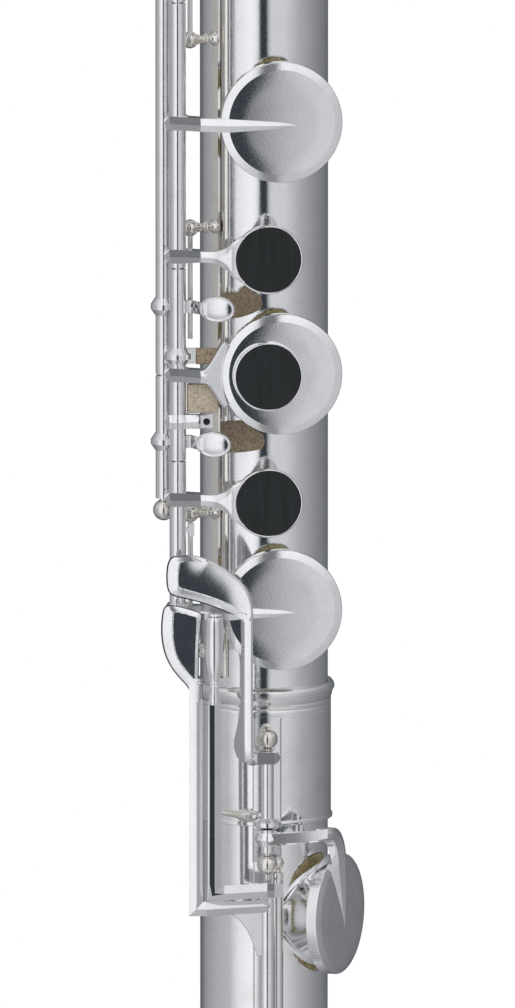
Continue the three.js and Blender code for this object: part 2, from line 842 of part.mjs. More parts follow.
function makeSideKey() {
  const low = between(hole.fSharp, hole.gLow, sideLowShare);
  const high = between(hole.fSharp, hole.gLow, sideHighShare);
  flute.add(piece('side_rib', join(pinnedPosts(sideRod, low, high, sideAngle - sideRodSwing)), silver));
  const rod = seenFrom(sideAngle, sideRod);
  const bottom = clearOf(low);
  const top = high - ballRadius - endGap;
  const middle = (bottom + top) / 2;
  const rise = hole.gLow - middle;
  const crest = cupFace + armCrestHeight;
  const slanted = arm([
    [rod.x, armHalfWidth, -rod.y - hingeRadius / 2, -rod.y + hingeRadius, 0],
    [-cupRadius - cupBevelDrop, armHalfWidth, cupCeiling - cupWall, crest, rise * slantShare],
    [-cupRadius + cupWall + padClearance, armHalfWidth, cupCeiling + cupWall / 2, crest, rise * slantShare],
    [armTipReach, armHalfWidth / 5, cupCeiling + cupWall / 2, cupFace + padSeatGap, rise],
  ], middle, cupWall);
  const outside = -rod.y;
  const touch = arm([
    [rod.x, armHalfWidth, outside - hingeRadius / 2, outside + hingeRadius],
    [rod.x - hingeRadius * 2, armHalfWidth, outside, outside + hingeRadius],
    [rod.x - hingeRadius * 3, sideTouchHalfWidth, outside, outside + touchThickness],
    [rod.x - hingeRadius * 3 - sideTouchReach, sideTouchHalfWidth / 2, outside, outside + touchThickness],
  ], middle);
  const solid = join([hinge(rod, bottom, top), cup(hole.gLow), slanted, touch]);
  hang(sideAngle, rod, 0, [
    piece('side_key', cut(solid, [boreThrough(rod, bottom, top)]), silver),
    pad('pad_side', hole.gLow),
  ]);
}

function trillTouch(height, centre) {
  const out = -trillRod.y;
  const top = -mainRod.y - hingeRadius - seatGap;
  const under = trillLiftHeight - trillTouchDepth;
  const near = mainRod.x + hingeRadius * trillArmClearShare;
  const shape = arm([
    [trillRod.x, trillArmHalfWidth, out - hingeRadius / 2, out + hingeRadius / 2],
    [near, trillArmHalfWidth, top - trillArmDepth, top - seatGap],
    [centre - trillTouchWidth * trillArmEndShare, trillArmHalfWidth, under, under + trillTouchDepth / 2],
    [centre, trillArmHalfWidth, under, under + trillTouchDepth * (3 / 4)],
  ], height);
  const plate = disc(1, 0, trillTouchDepth, cupSides).scale(trillTouchWidth / 2, trillTouchHeight / 2, 1);
  return [shape, facing(plate.translate(0, 0, under), height, centre)];
}

// The lower trill key turns on a long shaft inside the upper key's tube
function makeTrillKeys() {
  const rod = seenFrom(trillAngle, trillRod);
  const share = smallCupShare;
  const low = clearOf(trillLowEnd);
  const high = trillHighEnd - ballRadius - endGap;
  const upperTouch = between(hole.e, hole.f, upperTouchShare);
  const lowerTouch = between(hole.d, hole.e, lowerTouchShare);
  const cupShapes = (height) => [cup(height, share), pointedArm(rod, height, share)];
  const inTrillFrame = (shapes) => shapes.map((shape) => shape.rotateZ(radians(trillAngle)));
  const lower = join([
    rodAt(trillRod, steelRadius, trillLowEnd - postRadius, trillHighEnd + postRadius),
    hinge(trillRod, low, trillMeet),
    hinge(trillRod, trillPart + endGap, high),
    collar(trillRod, lowerTouch),
    ...trillTouch(lowerTouch, lowerTouchOffset),
    ...inTrillFrame(cupShapes(hole.trillLower)),
  ]);
  const upper = join([
    hinge(trillRod, trillMeet + endGap, trillPart),
    collar(trillRod, upperTouch),
    ...trillTouch(upperTouch, upperTouchOffset),
    ...inTrillFrame(cupShapes(hole.trillUpper)),
  ]);
  flute.add(piece('trill_key_lower', lower, silver));
  flute.add(piece('trill_key_upper', cut(upper, [boreThrough(trillRod, trillMeet, trillPart)]), silver));
  hang(trillAngle, rod, 0, [
    pad('pad_trill_lower', hole.trillLower, share),
    pad('pad_trill_upper', hole.trillUpper, share),
  ]);
}

// Foot keys

const eFlatPost = footSocketTop - eFlatPostDrop;
const lowPost = eFlatPost - eFlatHingeLength;
const cSharpPost = footHole.cSharp - footPostDrop;
const cPost = footHole.c - footPostDrop;

function makeFootRib() {
  const socketRib = socketOuterRadius + seatGap;
  const footRadius = ribInner + footRibThickness / 2;
  const leanAngle = footRibCentre - footRibSpread / 4;
  const pinReach = ballRadius + pinLength;
  const ribStrap = (inner, outer, bottom, top) => (
    strap(inner, outer, footRibCentre, footRibSpread, bottom, top)
  );
  const step = footSocketBottom - seatGap;
  const solid = join([
    ribStrap(ribInner, ribInner + footRibThickness, cPost - ballRadius, step),
    ribStrap(ribInner, socketRib + footRibThickness, lowPost, step),
    ribStrap(socketRib, socketRib + footRibThickness, lowPost, eFlatPost + ballRadius * footRibEndShare),
    ...post(footRod, eFlatPost, footRibCentre, socketRib + footRibThickness / 2),
    ...post(footRod, lowPost, footRibCentre, footRadius),
    ballAt(lowRod, lowPost, slimBallRadius),
    ...post(footRod, cSharpPost, leanAngle, footRadius, slimBallRadius, slimPostRadius),
    ...post(lowRod, cPost, lowRodAngle, footRadius, slimBallRadius, slimPostRadius),
    rodAt(lowRod, steelRadius, lowPost - pinReach, lowPost),
    rodAt(lowRod, steelRadius, cPost, cPost + pinReach),
  ]);
  const bore = boreThrough(footRod, cSharpPost - ballRadius, eFlatPost + ballRadius);
  flute.add(piece('foot_rib', cut(solid, [bore]), silver));
}

// An outline drawn in shares of a width and a height, laid flat at a distance from the axis
function touchPlate(shares, left, bottom, width, height, out, thickness) {
  const corners = shares.map(([u, v]) => new THREE.Vector2(left + u * width, bottom + v * height));
  const shape = new THREE.Shape(corners);
  const geometry = new THREE.ExtrudeGeometry(shape, { depth: thickness, bevelEnabled: false });
  return geometry.translate(0, 0, out - thickness).rotateX(Math.PI / 2);
}

// A straight bar along the tube
function bar(centre, half, low, high, bottom, top) {
  return new THREE.BoxGeometry(half * 2, high - low, top - bottom)
    .translate(centre, -(low + high) / 2, (bottom + top) / 2);
}

const eFlatTouchShares = [
  [0.134, 1], [0.388, 0.987], [0.632, 0.857], [0.813, 0.669], [0.947, 0.448], [1, 0.24],
  [0.909, 0], [0.794, 0.065], [0.517, 0.221], [0.043, 0.416], [0, 0.7], [0.043, 0.906],
];
const cSharpTouchShares = [
  [0.06, 0.99], [0.2, 1], [0.93, 0.92], [0.88, 0.58], [0.83, 0.09], [0.67, 0], [0.2, 0.27],
  [0.04, 0.47], [0, 0.72],
];

const fingerLift = tubeRadius + touchLiftHeight + touchThickness;

function swungOpen(geometry, rod, swing) {
  return geometry.translate(-rod.x, -rod.y, 0).rotateZ(radians(swing)).translate(rod.x, rod.y, 0);
}

function makeEFlatKey() {
  const rod = seenFrom(eFlatAngle, footRod);
  const top = eFlatPost - ballRadius - endGap;
  const bottom = lowPost + ballRadius + endGap;
  const cross = eFlatPost - ballRadius - collarHeight / 2;
  const root = lowPost + eFlatRootRise;
  const shaft = footRod.x - eFlatShaftOffset;
  const touchBottom = hole.d - eFlatTouchDrop;
  const out = -rod.y;
  const crest = cupFace + armCrestHeight;
  const bendDrop = cupPlateThickness * 3;
  const bend = arm([
    [rod.x, armHalfWidth, out - hingeRadius / 2, out + hingeRadius],
    [-cupRadius * eFlatBendShares.outer, armHalfWidth, cupCeiling - bendDrop, crest - bendDrop],
    [-cupRadius * eFlatBendShares.inner, armHalfWidth, cupCeiling, crest],
    [armHalfWidth, armHalfWidth, cupCeiling + cupWall / 2, crest],
  ], root, cupWall / 2);
  const tip = footHole.eFlat - armTipReach;
  const overCup = bar(0, armHalfWidth, cupCeiling + cupWall / 2, crest, tip, root);
  const cupSide = [cup(footHole.eFlat), bend, overCup].map((shape) => shape.rotateZ(radians(eFlatAngle)));
  const lift = fingerLift;
  const share = eFlatLeverShares;
  const rodOut = -footRod.y;
  const endX = footRod.x + collarRadius * share.end;
  const touchLeft = shaft + leverWidth / 2 - eFlatTouchWidth;
  const touchSide = [
    arm([
      [shaft - leverWidth / 2, armHalfWidth, lift - leverDepth, lift],
      [shaft + leverWidth, armHalfWidth, lift - leverDepth * share.dip, lift - leverDepth / 2],
      [footRod.x, armHalfWidth, rodOut, rodOut + hingeRadius * share.rod],
      [endX, armHalfWidth / 2, rodOut - hingeRadius / 2, rodOut + hingeRadius / 2],
    ], cross),
    bar(shaft, leverWidth / 2, lift - touchThickness, lift, cross, touchBottom + touchThickness),
    touchPlate(
      eFlatTouchShares, touchLeft, touchBottom, eFlatTouchWidth, eFlatTouchHeight, lift, touchThickness,
    ),
  ];
  const solid = join([
    rodAt(footRod, footHingeRadius, bottom, top),
    collar(footRod, bottom + eFlatCollarRise),
    ...cupSide,
    ...touchSide,
  ]);
  flute.add(piece('key_e_flat', cut(solid, [boreThrough(footRod, bottom, top)]), silver));
  hang(eFlatAngle, rod, 0, [pad('pad_e_flat', footHole.eFlat)]);
}

function lowCup(rod, height) {
  const inFrame = seenFrom(lowAngle, rod);
  const shapes = [cup(height), pointedArm(inFrame, height)];
  return shapes.map((shape) => swungOpen(shape.rotateZ(radians(lowAngle)), rod, openAngle));
}

function lowPad(name, rod, height) {
  hang(lowAngle, seenFrom(lowAngle, rod), openAngle, [pad(name, height)]);
}

function makeCSharpKey() {
  const out = -footRod.y;
  const top = lowPost - cSharpHingeDrop;
  const bottom = clearOf(cSharpPost) - ballRadius + slimBallRadius;
  const height = top - leverHalfWidth;
  const endX = footRod.x + hingeRadius * leverEndShare;
  const shaftHalf = cSharpShaftHalfWidth;
  const touchBottom = hole.d - cSharpTouchDrop;
  const shaftTop = touchBottom + leverWidth / 2;
  const lever = arm([
    [cSharpShaftOffset - shaftHalf, leverHalfWidth, fingerLift - leverDepth, fingerLift],
    [cSharpShaftOffset + shaftHalf, leverHalfWidth, fingerLift - leverDepth, fingerLift],
    [footRod.x - hingeRadius * 2, leverHalfWidth, out + hingeRadius, out + hingeRadius * 2],
    [footRod.x, leverHalfWidth, out, out + hingeRadius],
    [endX, leverHalfWidth / 2, out - hingeRadius / 4, out + hingeRadius / 4],
  ], height);
  const solid = join([
    rodAt(footRod, cSharpHingeRadius, bottom, top),
    lever,
    bar(cSharpShaftOffset, shaftHalf, fingerLift - leverDepth, fingerLift, height, shaftTop),
    touchPlate(
      cSharpTouchShares, cSharpShaftOffset - cSharpTouchWidth * cSharpTouchLeftShare, touchBottom,
      cSharpTouchWidth, cSharpTouchHeight, fingerLift, touchThickness,
    ),
    ...lowCup(footRod, footHole.cSharp),
  ]);
  flute.add(piece('key_c_sharp', cut(solid, [boreThrough(footRod, bottom, top)]), silver));
  lowPad('pad_c_sharp', footRod, footHole.cSharp);
}

// The low C key carries a roller on a pin beside the C sharp touch
function makeCKey() {
  const out = -lowRod.y;
  const bottom = cPost + slimBallRadius + endGap;
  const top = lowPost - slimBallRadius - endGap;
  const height = lowPost - cSharpHingeDrop + leverHalfWidth + endGap;
  const rollerTop = hole.d - rollerDrop;
  const rollerBottom = rollerTop - rollerLength;
  const forkTop = rollerTop + endGap + forkThickness;
  const forkBottom = rollerBottom - endGap - forkThickness;
  const rollerOut = fingerLift + seatGap;
  const rodClear = -footRod.y + hingeRadius;
  const lever = arm([
    [cShaftOffset - cShaftHalfWidth, leverHalfWidth, fingerLift - leverDepth, fingerLift],
    [cShaftOffset + cShaftHalfWidth, leverHalfWidth, fingerLift - leverDepth, fingerLift],
    [footRod.x, leverHalfWidth, rodClear + endGap, rodClear + leverDepth],
    [lowRod.x - footHingeRadius / 3, leverHalfWidth, rodClear + endGap, rodClear + leverDepth],
  ], height);
  const web = arm([
    [lowRod.x - footHingeRadius / 3, leverHalfWidth, out, rodClear + leverDepth],
    [lowRod.x + footHingeRadius * webEndShare, leverHalfWidth, out, rodClear + leverDepth / 2],
  ], height);
  const pinPoint = { x: cShaftOffset, y: -rollerOut };
  const solid = join([
    rodAt(lowRod, footHingeRadius, bottom, top),
    lever,
    web,
    bar(cShaftOffset, cShaftHalfWidth, fingerLift - leverDepth, fingerLift, height, forkBottom),
    rodAt(pinPoint, cShaftHalfWidth, forkBottom - leverWidth, forkBottom + forkThickness),
    rodAt(pinPoint, rollerPinRadius, forkBottom, forkTop),
    rodAt(pinPoint, rollerPinRadius * 2, rollerTop + endGap, forkTop),
    ...lowCup(lowRod, footHole.c),
  ]);
  flute.add(piece('key_c_low', cut(solid, [boreThrough(lowRod, bottom, top)]), silver));
  const roller = cut(
    toSolid(rodAt(pinPoint, rollerRadius, rollerBottom, rollerTop, cupSides)),
    [boreThrough(pinPoint, rollerBottom, rollerTop, rollerPinRadius + seatGap)],
  );
  flute.add(piece('roller', roller, silver));
  lowPad('pad_c_low', lowRod, footHole.c);
}

// Head

const headTubeBottom = headSocketTop - headInsertLength;
const headTubeTop = headTubeBottom + headTubeLength;
const bendBase = headTubeTop + seatGap;
const returnAxis = -bendRadius * 2;
const returnBottom = headTubeTop - returnLength;
const embouchure = between(returnBottom, headTubeTop, embouchureShare);

// Two short straight ends joined by a half circle
class BendPath extends THREE.Curve {
  constructor(tail) {
    super();
    this.tail = tail;
  }

  getPoint(t, target = new THREE.Vector3()) {
    const arc = Math.PI * bendRadius;
    const travelled = t * (arc + this.tail * 2);
    const base = bendBase + bendLipLength;
    if (travelled < this.tail) {
      return target.set(0, 0, base - this.tail + travelled);
    }
    if (travelled > this.tail + arc) {
      return target.set(returnAxis, 0, base - (travelled - this.tail - arc));
    }
    const angle = (travelled - this.tail) / bendRadius;
    return target.set(-bendRadius + Math.cos(angle) * bendRadius, 0, base + Math.sin(angle) * bendRadius);
  }
}

function bentTube(radius, tail) {
  const shape = new THREE.Shape().absarc(0, 0, radius, 0, Math.PI * 2);
  return new THREE.ExtrudeGeometry(shape, {
    steps: bendSteps, curveSegments: tubeSides / 2, extrudePath: new BendPath(tail), bevelEnabled: false,
  });
}

function makeBend() {
  const socketBottom = headTubeTop - bendSocketLength;
  const sleeve = () => turned([
    [socketInnerRadius, socketBottom],
    [socketOuterRadius + ringRise, socketBottom],
    [socketOuterRadius + ringRise, socketBottom + ringHeight / 2],
    [socketOuterRadius, socketBottom + ringHeight],
    [socketOuterRadius, bendBase + bendLipLength / 2],
    [boreRadius, bendBase + bendLipLength / 2],
    [boreRadius, bendBase],
    [socketInnerRadius, bendBase],
    [socketInnerRadius, socketBottom],
  ]);
  const solid = join([bentTube(tubeRadius, bendLipLength), sleeve(), sleeve().translate(returnAxis, 0, 0)]);
  flute.add(piece('head_bend', cut(solid, [bentTube(boreRadius, bendLipLength + overrunLength)]), silver));
  flute.add(piece('head_tube', toSolid(ring(tubeRadius, boreRadius, headTubeBottom, headTubeTop)), silver));
}

function oval(halfWidth, halfHeight, low, high, sides = cupSides) {
  const geometry = disc(1, low, high, sides).scale(halfWidth, halfHeight, 1);
  return facing(geometry, embouchure, returnAxis);
}

function makeEmbouchure() {
  const reach = tubeRadius + lipRise;
  const holeShape = () => oval(embouchureWidth / 2, embouchureHeight / 2, 0, reach + overrunLength);
  const riserHalf = [embouchureWidth / 2 + riserWall, embouchureHeight / 2 + riserWall];
  const prism = (halfWidth, front) => disc(1, embouchure - lipHeight, embouchure + lipHeight)
    .scale(halfWidth, front, 1).translate(returnAxis, 0, 0);
  const tube = toSolid(ring(tubeRadius, boreRadius, returnBottom, headTubeTop).translate(returnAxis, 0, 0));
  flute.add(piece('return_tube', cut(tube, [holeShape()]), silver));
  const innerWidth = ribInner + lipWall / 2;
  const shell = cut(toSolid(prism(innerWidth + lipWall, reach)), [prism(innerWidth, reach - lipWall)]);
  const outline = toSolid(oval(lipHalfWidth, lipHeight / 2, seatGap, reach + overrunLength));
  const plate = cut(shell.intersect(outline), [
    oval(riserHalf[0] + seatGap, riserHalf[1] + seatGap, 0, reach + overrunLength),
  ]);
  flute.add(piece('lip_plate', plate, silver));
  const column = toSolid(oval(riserHalf[0], riserHalf[1], 0, reach + overrunLength));
  const inside = disc(tubeRadius + seatGap, embouchure - lipHeight, embouchure + lipHeight);
  const around = inside.translate(returnAxis, 0, 0);
  const riser = cut(column.intersect(toSolid(prism(innerWidth + lipWall, reach))), [around, holeShape()]);
  flute.add(piece('riser', riser, silver));
}

function makeStopperAndCrown() {
  const low = returnBottom + crownPlugLength + stopperClearance;
  const outer = boreRadius - seatGap;
  const stopper = ring(outer, screwRadius + seatGap, low, low + stopperLength);
  flute.add(piece('stopper', toSolid(stopper.translate(returnAxis, 0, 0)), cork));
  const rim = returnBottom - seatGap;
  const screwTop = low + stopperLength * screwReachShare;
  const crown = turned([
    [0, rim - crownHeight],
    [tubeRadius * crownTipShare, rim - crownHeight],
    [tubeRadius + crownRise, rim - crownHeight * crownTipShare],
    [tubeRadius + crownRise, rim],
    [outer, rim],
    [outer, rim + crownPlugLength],
    [screwRadius, rim + crownPlugLength],
    [screwRadius, screwTop],
    [0, screwTop],
  ]);
  flute.add(piece('crown', toSolid(crown.translate(returnAxis, 0, 0)), silver));
}

makeTubes();
makeSockets();
makeBodyRib();
makeSprings();
makeSteels();
makeRow();
makeThumbKey();
makeSideKey();
makeTrillKeys();
makeFootRib();
makeEFlatKey();
makeCSharpKey();
makeCKey();
makeBend();
makeEmbouchure();
makeStopperAndCrown();

export default flute;
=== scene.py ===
import math

import bmesh
import bpy
from mathutils import Matrix, Vector


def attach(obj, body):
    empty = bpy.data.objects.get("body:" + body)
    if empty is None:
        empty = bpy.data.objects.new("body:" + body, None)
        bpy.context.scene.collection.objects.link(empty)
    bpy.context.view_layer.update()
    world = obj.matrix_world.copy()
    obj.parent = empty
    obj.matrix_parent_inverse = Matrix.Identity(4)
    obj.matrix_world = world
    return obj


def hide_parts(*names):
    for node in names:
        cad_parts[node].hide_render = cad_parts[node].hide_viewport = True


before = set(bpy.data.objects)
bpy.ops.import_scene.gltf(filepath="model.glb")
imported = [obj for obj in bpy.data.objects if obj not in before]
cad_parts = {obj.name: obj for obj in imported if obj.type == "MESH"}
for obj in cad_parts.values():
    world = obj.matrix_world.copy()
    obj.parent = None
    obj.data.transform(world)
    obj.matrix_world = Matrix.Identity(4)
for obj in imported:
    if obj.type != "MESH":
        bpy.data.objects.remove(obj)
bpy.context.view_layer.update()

MM = 0.001

# How many sides round things have
TUBE_SIDES = 160
CROWN_SIDES = 128
CUP_SIDES = 120
SIDES = 96
DRILL_SIDES = 72
RING_SIDES = 64
HINGE_SIDES = 48
ROD_SIDES = 40
BALL_SIDES = 32
NEEDLE_SIDES = 24

# Tube and joints
BORE = 14.95
TUBE = 15.5
GAP = 0.3
FOOT_TOP = 235.7
BODY_BOTTOM = 236.0
BODY_TOP = 850.0
BODY_LENGTH = BODY_TOP - BODY_BOTTOM
SOCKET_IN = 15.8
SOCKET_OUT = 16.4
SOCKET_LOW = FOOT_TOP - 8.2
SOCKET_TOP = FOOT_TOP + 25.3
RING_RISE = 0.7
RING_HEIGHT = 4.4
RIB_IN = TUBE + GAP
RIB_OUT = RIB_IN + 1.2

# Holes, cups and pads
HOLE = 11.3
CHIMNEY = 12.2
CHIMNEY_TOP = 17.0
PAD_LOW = 17.2
PAD_HIGH = 19.6
CEILING = 19.9
FACE = 21.0
CUP = 14.7
BEVEL = 1.9
BEVEL_DROP = 0.65
SMALL = 0.55

HOLE_SHARES = {
    "d": 0.0739, "e": 0.1676, "f": 0.2674, "f_sharp": 0.3578, "g_low": 0.443, "g_high": 0.5236,
    "a": 0.5993, "b_flat": 0.671, "thumb": 0.7394, "c": 0.8127, "trill_upper": 0.873, "trill_lower": 0.9267,
}
HOLES = {key: BODY_BOTTOM + BODY_LENGTH * share for key, share in HOLE_SHARES.items()}
FOOT_HOLES = {"e_flat": 204.71, "c_sharp": 138.99, "c_low": 68.99}
ROW_HOLES = ("d", "e", "f", "f_sharp", "g_low", "g_high", "a", "b_flat", "c")

# Where the hinge tubes of the row end, and its posts
STATION_SHARES = {
    "low_post": 0.0562, "d_top": 0.133, "e_top": 0.2095, "f_top": 0.3146, "mid_post": 0.3941,
    "g_top": 0.5573, "a_top": 0.6354, "b_flat_top": 0.703, "high_post": 0.7117, "c_top": 0.8245,
    "top_post": 0.8339,
}
STATIONS = {key: BODY_BOTTOM + BODY_LENGTH * share for key, share in STATION_SHARES.items()}

# Angles round the tube, and how far keys swing open
ROW = 12.0
THUMB = -175.0
SIDE = 108.0
TRILL = -112.0
E_FLAT = 66.0
LOW = -64.0
OPEN = 6.0
ROD_SWING = 55.8
RIB_ANGLE = -45
FOOT_RIB_ANGLE = 2.5
LOW_ANGLE = 9.7

# Rods
HINGE = 2.0
STEEL = 0.95
RIDGE = 3.3
SHOULDER = 2.5
BALL = 2.6
PIN = BALL + 2.5

# Finger plates
PLATE = 8.4
INLAY = 7.9
PLATE_FACE = 24.2
PLATE_UNDER = 22.2
PLATE_ACROSS = -3.6

# Head
HEAD_LOW = 852
HEAD_TOP = 1000.0
BEND_BASE = 1000.3
BEND_LIP = 2.0
BEND = 38.0
BEND_RISE = 0.983
BEND_STEPS = 64
RETURN_X = -76.0
RETURN_LOW = 800.0
MOUTH = 850.0
MOUTH_HALF = (6.2, 5.3)

# A dark line along an arm's crest, the least that its flat can be
EDGE = 0.02


# Shapes


class Shape:
    """Closed surfaces, held as corners in millimetres and faces that list corner numbers."""

    def __init__(self, points=(), faces=()):
        self.points = [Vector(point) for point in points]
        self.faces = [tuple(face) for face in faces]

    def __add__(self, other):
        start = len(self.points)
        moved = [tuple(i + start for i in face) for face in other.faces]
        return Shape(self.points + other.points, self.faces + moved)

    def put(self, matrix):
        return Shape([matrix @ point for point in self.points], self.faces)

    def at(self, x=0.0, y=0.0, z=0.0):
        return self.put(Matrix.Translation((x, y, z)))

    def turned(self, angle):
        return self.put(Matrix.Rotation(math.radians(angle), 4, "Z"))

    def scaled(self, x, y, z):
        return self.put(Matrix.Diagonal((x, y, z, 1.0)))


def total(shapes):
    result = Shape()
    for shape in shapes:
        result = result + shape
    return result


def grid(rows, caps=True, loop=False):
    """A skin over rows of the same number of points, each row a closed outline."""
    count = len(rows[0])
    points = [point for row in rows for point in row]
    faces = []
    for r in range(len(rows) if loop else len(rows) - 1):
        here, there = r * count, (r + 1) % len(rows) * count
        for i in range(count):
            j = (i + 1) % count
            faces.append((here + i, here + j, there + j, there + i))
    if caps and not loop:
        last = (len(rows) - 1) * count
        faces.append(tuple(reversed(range(count))))
        faces.append(tuple(last + i for i in range(count)))
    return Shape(points, faces)


def turns(sides):
    return [2 * math.pi * i / sides for i in range(sides)]


def lathe(profile, sides=SIDES):
    """A profile of radius and height turned round Z. A radius of nothing closes the end."""
    ring = profile[0] == profile[-1] and len(profile) > 2
    rows = []
    points = []
    for radius, height in profile[:-1] if ring else profile:
        row = []
        for angle in turns(sides)[:1 if radius < 1e-6 else sides]:
            row.append(len(points))
            points.append((radius * math.cos(angle), radius * math.sin(angle), height))
        rows.append(row)
    faces = []
    for low, high in zip(rows, rows[1:] + (rows[:1] if ring else [])):
        for i in range(sides):
            j = (i + 1) % sides
            if len(low) == 1 and len(high) == 1:
                break
            if len(low) == 1:
                faces.append((low[0], high[j], high[i]))
            elif len(high) == 1:
                faces.append((low[i], low[j], high[0]))
            else:
                faces.append((low[i], low[j], high[j], high[i]))
    return Shape(points, faces)


def disc(radius, low, high):
    return lathe([(0, low), (radius, low), (radius, high), (0, high)], DRILL_SIDES)


def facing(shape, height, across=0.0):
    """Lays a shape turned round Z so that its height points outwards, at a height up the tube."""
    return shape.put(Matrix.Rotation(math.pi / 2, 4, "X")).at(across, 0, height)


def round_place(profile, place, sides, height=0):
    """A profile turned round a line along the tube."""
    return lathe(profile, sides).at(*place, height)


def ball(centre, radius):
    sides = BALL_SIDES
    half = [math.radians(-90 + 180 * i / (sides // 2)) for i in range(sides // 2 + 1)]
    profile = [(radius * max(math.cos(a), 0), radius * math.sin(a)) for a in half]
    profile[0], profile[-1] = (0, -radius), (0, radius)
    return lathe(profile, sides).at(*centre)


def between_points(profile, start, end, sides=ROD_SIDES):
    """A profile of radius and share of the way, turned round the line from start to end."""
    start, end = Vector(start), Vector(end)
    along = end - start
    turn = along.to_track_quat("Z", "Y").to_matrix().to_4x4()
    shape = lathe([(radius, share * along.length) for radius, share in profile], sides)
    return shape.put(turn).at(*start)


def rod(place, radius, low, high, sides=ROD_SIDES):
    """A rod along the tube with lightly rounded ends."""
    edge = 0.12
    return round_place([
        (0, low), (radius - edge, low), (radius, low + edge),
        (radius, high - edge), (radius - edge, high), (0, high),
    ], place, sides)


def smooth(values, steps):
    """Points on a soft line through the given tuples."""
    made = []
    for i in range(len(values) - 1):
        a, d = values[max(i - 1, 0)], values[min(i + 2, len(values) - 1)]
        b, c = values[i], values[i + 1]
        for k in range(steps):
            t = k / steps
            made.append(tuple(
                0.5 * (2 * q + (r - p) * t + (2 * p - 5 * q + 4 * r - s) * t * t
                       + (3 * q - p - 3 * r + s) * t ** 3)
                for p, q, r, s in zip(a, b, c, d)
            ))
    made.append(tuple(values[-1]))
    return made


def filled(stations, count, steps):
    """Stations with what they leave out taken as nothing, and softened where there is more than one step."""
    full = [tuple(one) + (0.0,) * (count - len(one)) for one in stations]
    return smooth(full, steps) if steps > 1 else full


def roof_row(centre, aside, half, low, high, crown, flat, shift=0.0, far_crown=0.0):
    """An arm's section: underside, sides, and a roof whose ridge can be a narrow flat off the middle."""
    flat = max(flat, EDGE)
    far = high - (far_crown or crown)
    corners = [
        (low, -half), (low, half), (far, half), (high, shift + flat), (high, shift - flat),
        (high - crown, -half),
    ]
    return [Vector((centre[0] + aside[0] * away, -out, centre[1] + aside[1] * away)) for out, away in corners]


def arm(stations, height, steps=1):
    """Each station: how far across, half width, underside, crest, roof height, climb, flat and shift."""
    return grid([
        roof_row((across, height + climb), (0, 1), half, low, high, crown, flat, shift)
        for across, half, low, high, crown, climb, flat, shift in filled(stations, 8, steps)
    ])


def ribbon(stations, steps=1):
    """An arm that turns. Each station: across and up, half width, underside, crest, roof height and flat.

    It may add how far its crest is off the middle, and the roof's height on the far side where that differs.
    """
    full = filled(stations, 9, steps)
    rows = []
    for i, (across, up, *section) in enumerate(full):
        before, after = full[max(i - 1, 0)], full[min(i + 1, len(full) - 1)]
        along = Vector((after[0] - before[0], after[1] - before[1])).normalized()
        rows.append(roof_row((across, up), (-along.y, along.x), *section))
    return grid(rows)


def bar(near, far, half, flat, low, high, height):
    """A short flat bar that runs straight across."""
    return arm([(across, half, low, high, 0, 0, flat) for across in (near, far)], height)


def block(outline, low, high, edge=0.0, slope=0.0):
    """An outline in the plane across and up the tube, as thick as from low to high outwards."""
    rows = [(outline, low), (outline, high - edge)]
    if edge:
        rows.append((inset(outline, edge), high))
    return grid([[Vector((x, -(out - slope * x), z)) for x, z in ring] for ring, out in rows])


def softened(corners, rounds=3):
    """Cuts the corners of a closed outline, each round softer, and carries what else a corner holds along."""
    points = corners
    for _ in range(rounds):
        softer = []
        for here, after in zip(points, points[1:] + points[:1]):
            for share in (0.25, 0.75):
                softer.append(tuple(a * (1 - share) + b * share for a, b in zip(here, after)))
        points = softer
    return points


def inset(outline, distance):
    """An outline moved inwards. The outline goes round clockwise or the other way."""
    area = sum(a[0] * b[1] - b[0] * a[1] for a, b in zip(outline, outline[1:] + outline[:1]))
    sign = 1 if area > 0 else -1
    moved = []
    for i, here in enumerate(outline):
        before, after = outline[i - 1], outline[(i + 1) % len(outline)]
        one = Vector((here[0] - before[0], here[1] - before[1])).normalized()
        two = Vector((after[0] - here[0], after[1] - here[1])).normalized()
        along = (one + two).normalized()
        normal = Vector((-along.y, along.x)) * sign
        stretch = 1 / max(normal.dot(Vector((-one.y, one.x)) * sign), 0.6)
        moved.append((here[0] + normal.x * distance * stretch, here[1] + normal.y * distance * stretch))
    return moved


def patch(outline, low, high, across=14, levels=26):
    """A sheet bent round the tube, between two distances from its axis."""
    bottom, top = min(z for _, z in outline), max(z for _, z in outline)
    rows = []
    for k in range(levels + 1):
        z = bottom + (top - bottom) * (0.01 + 0.98 * k / levels)
        cuts = []
        for (x0, z0), (x1, z1) in zip(outline, outline[1:] + outline[:1]):
            if (z0 - z) * (z1 - z) < 0:
                cuts.append(x0 + (x1 - x0) * (z - z0) / (z1 - z0))
        left, right = min(cuts), max(cuts)
        line = [left + (right - left) * i / across for i in range(across + 1)]
        outer = [Vector((x, -math.sqrt(high * high - x * x), z)) for x in line]
        inner = [Vector((x, -math.sqrt(low * low - x * x), z)) for x in reversed(line)]
        rows.append(outer + inner)
    return grid(rows)


# Places


def polar(angle, radius):
    turn = math.radians(angle)
    return (math.sin(turn) * radius, -math.cos(turn) * radius)


def seen_from(angle, place):
    """A place in the frame that lies an angle round the tube."""
    turn = math.radians(-angle)
    x, y = place
    return (x * math.cos(turn) - y * math.sin(turn), x * math.sin(turn) + y * math.cos(turn))


def hang(shape, angle, place, swing):
    """Turns a shape built closed in a frame round the tube, and swings it open about its rod."""
    x, y = place
    spin = Matrix.Rotation(math.radians(swing), 4, "Z")
    matrix = Matrix.Rotation(math.radians(angle), 4, "Z") @ Matrix.Translation((x, y, 0)) @ spin
    return shape.put(matrix @ Matrix.Translation((-x, -y, 0)))


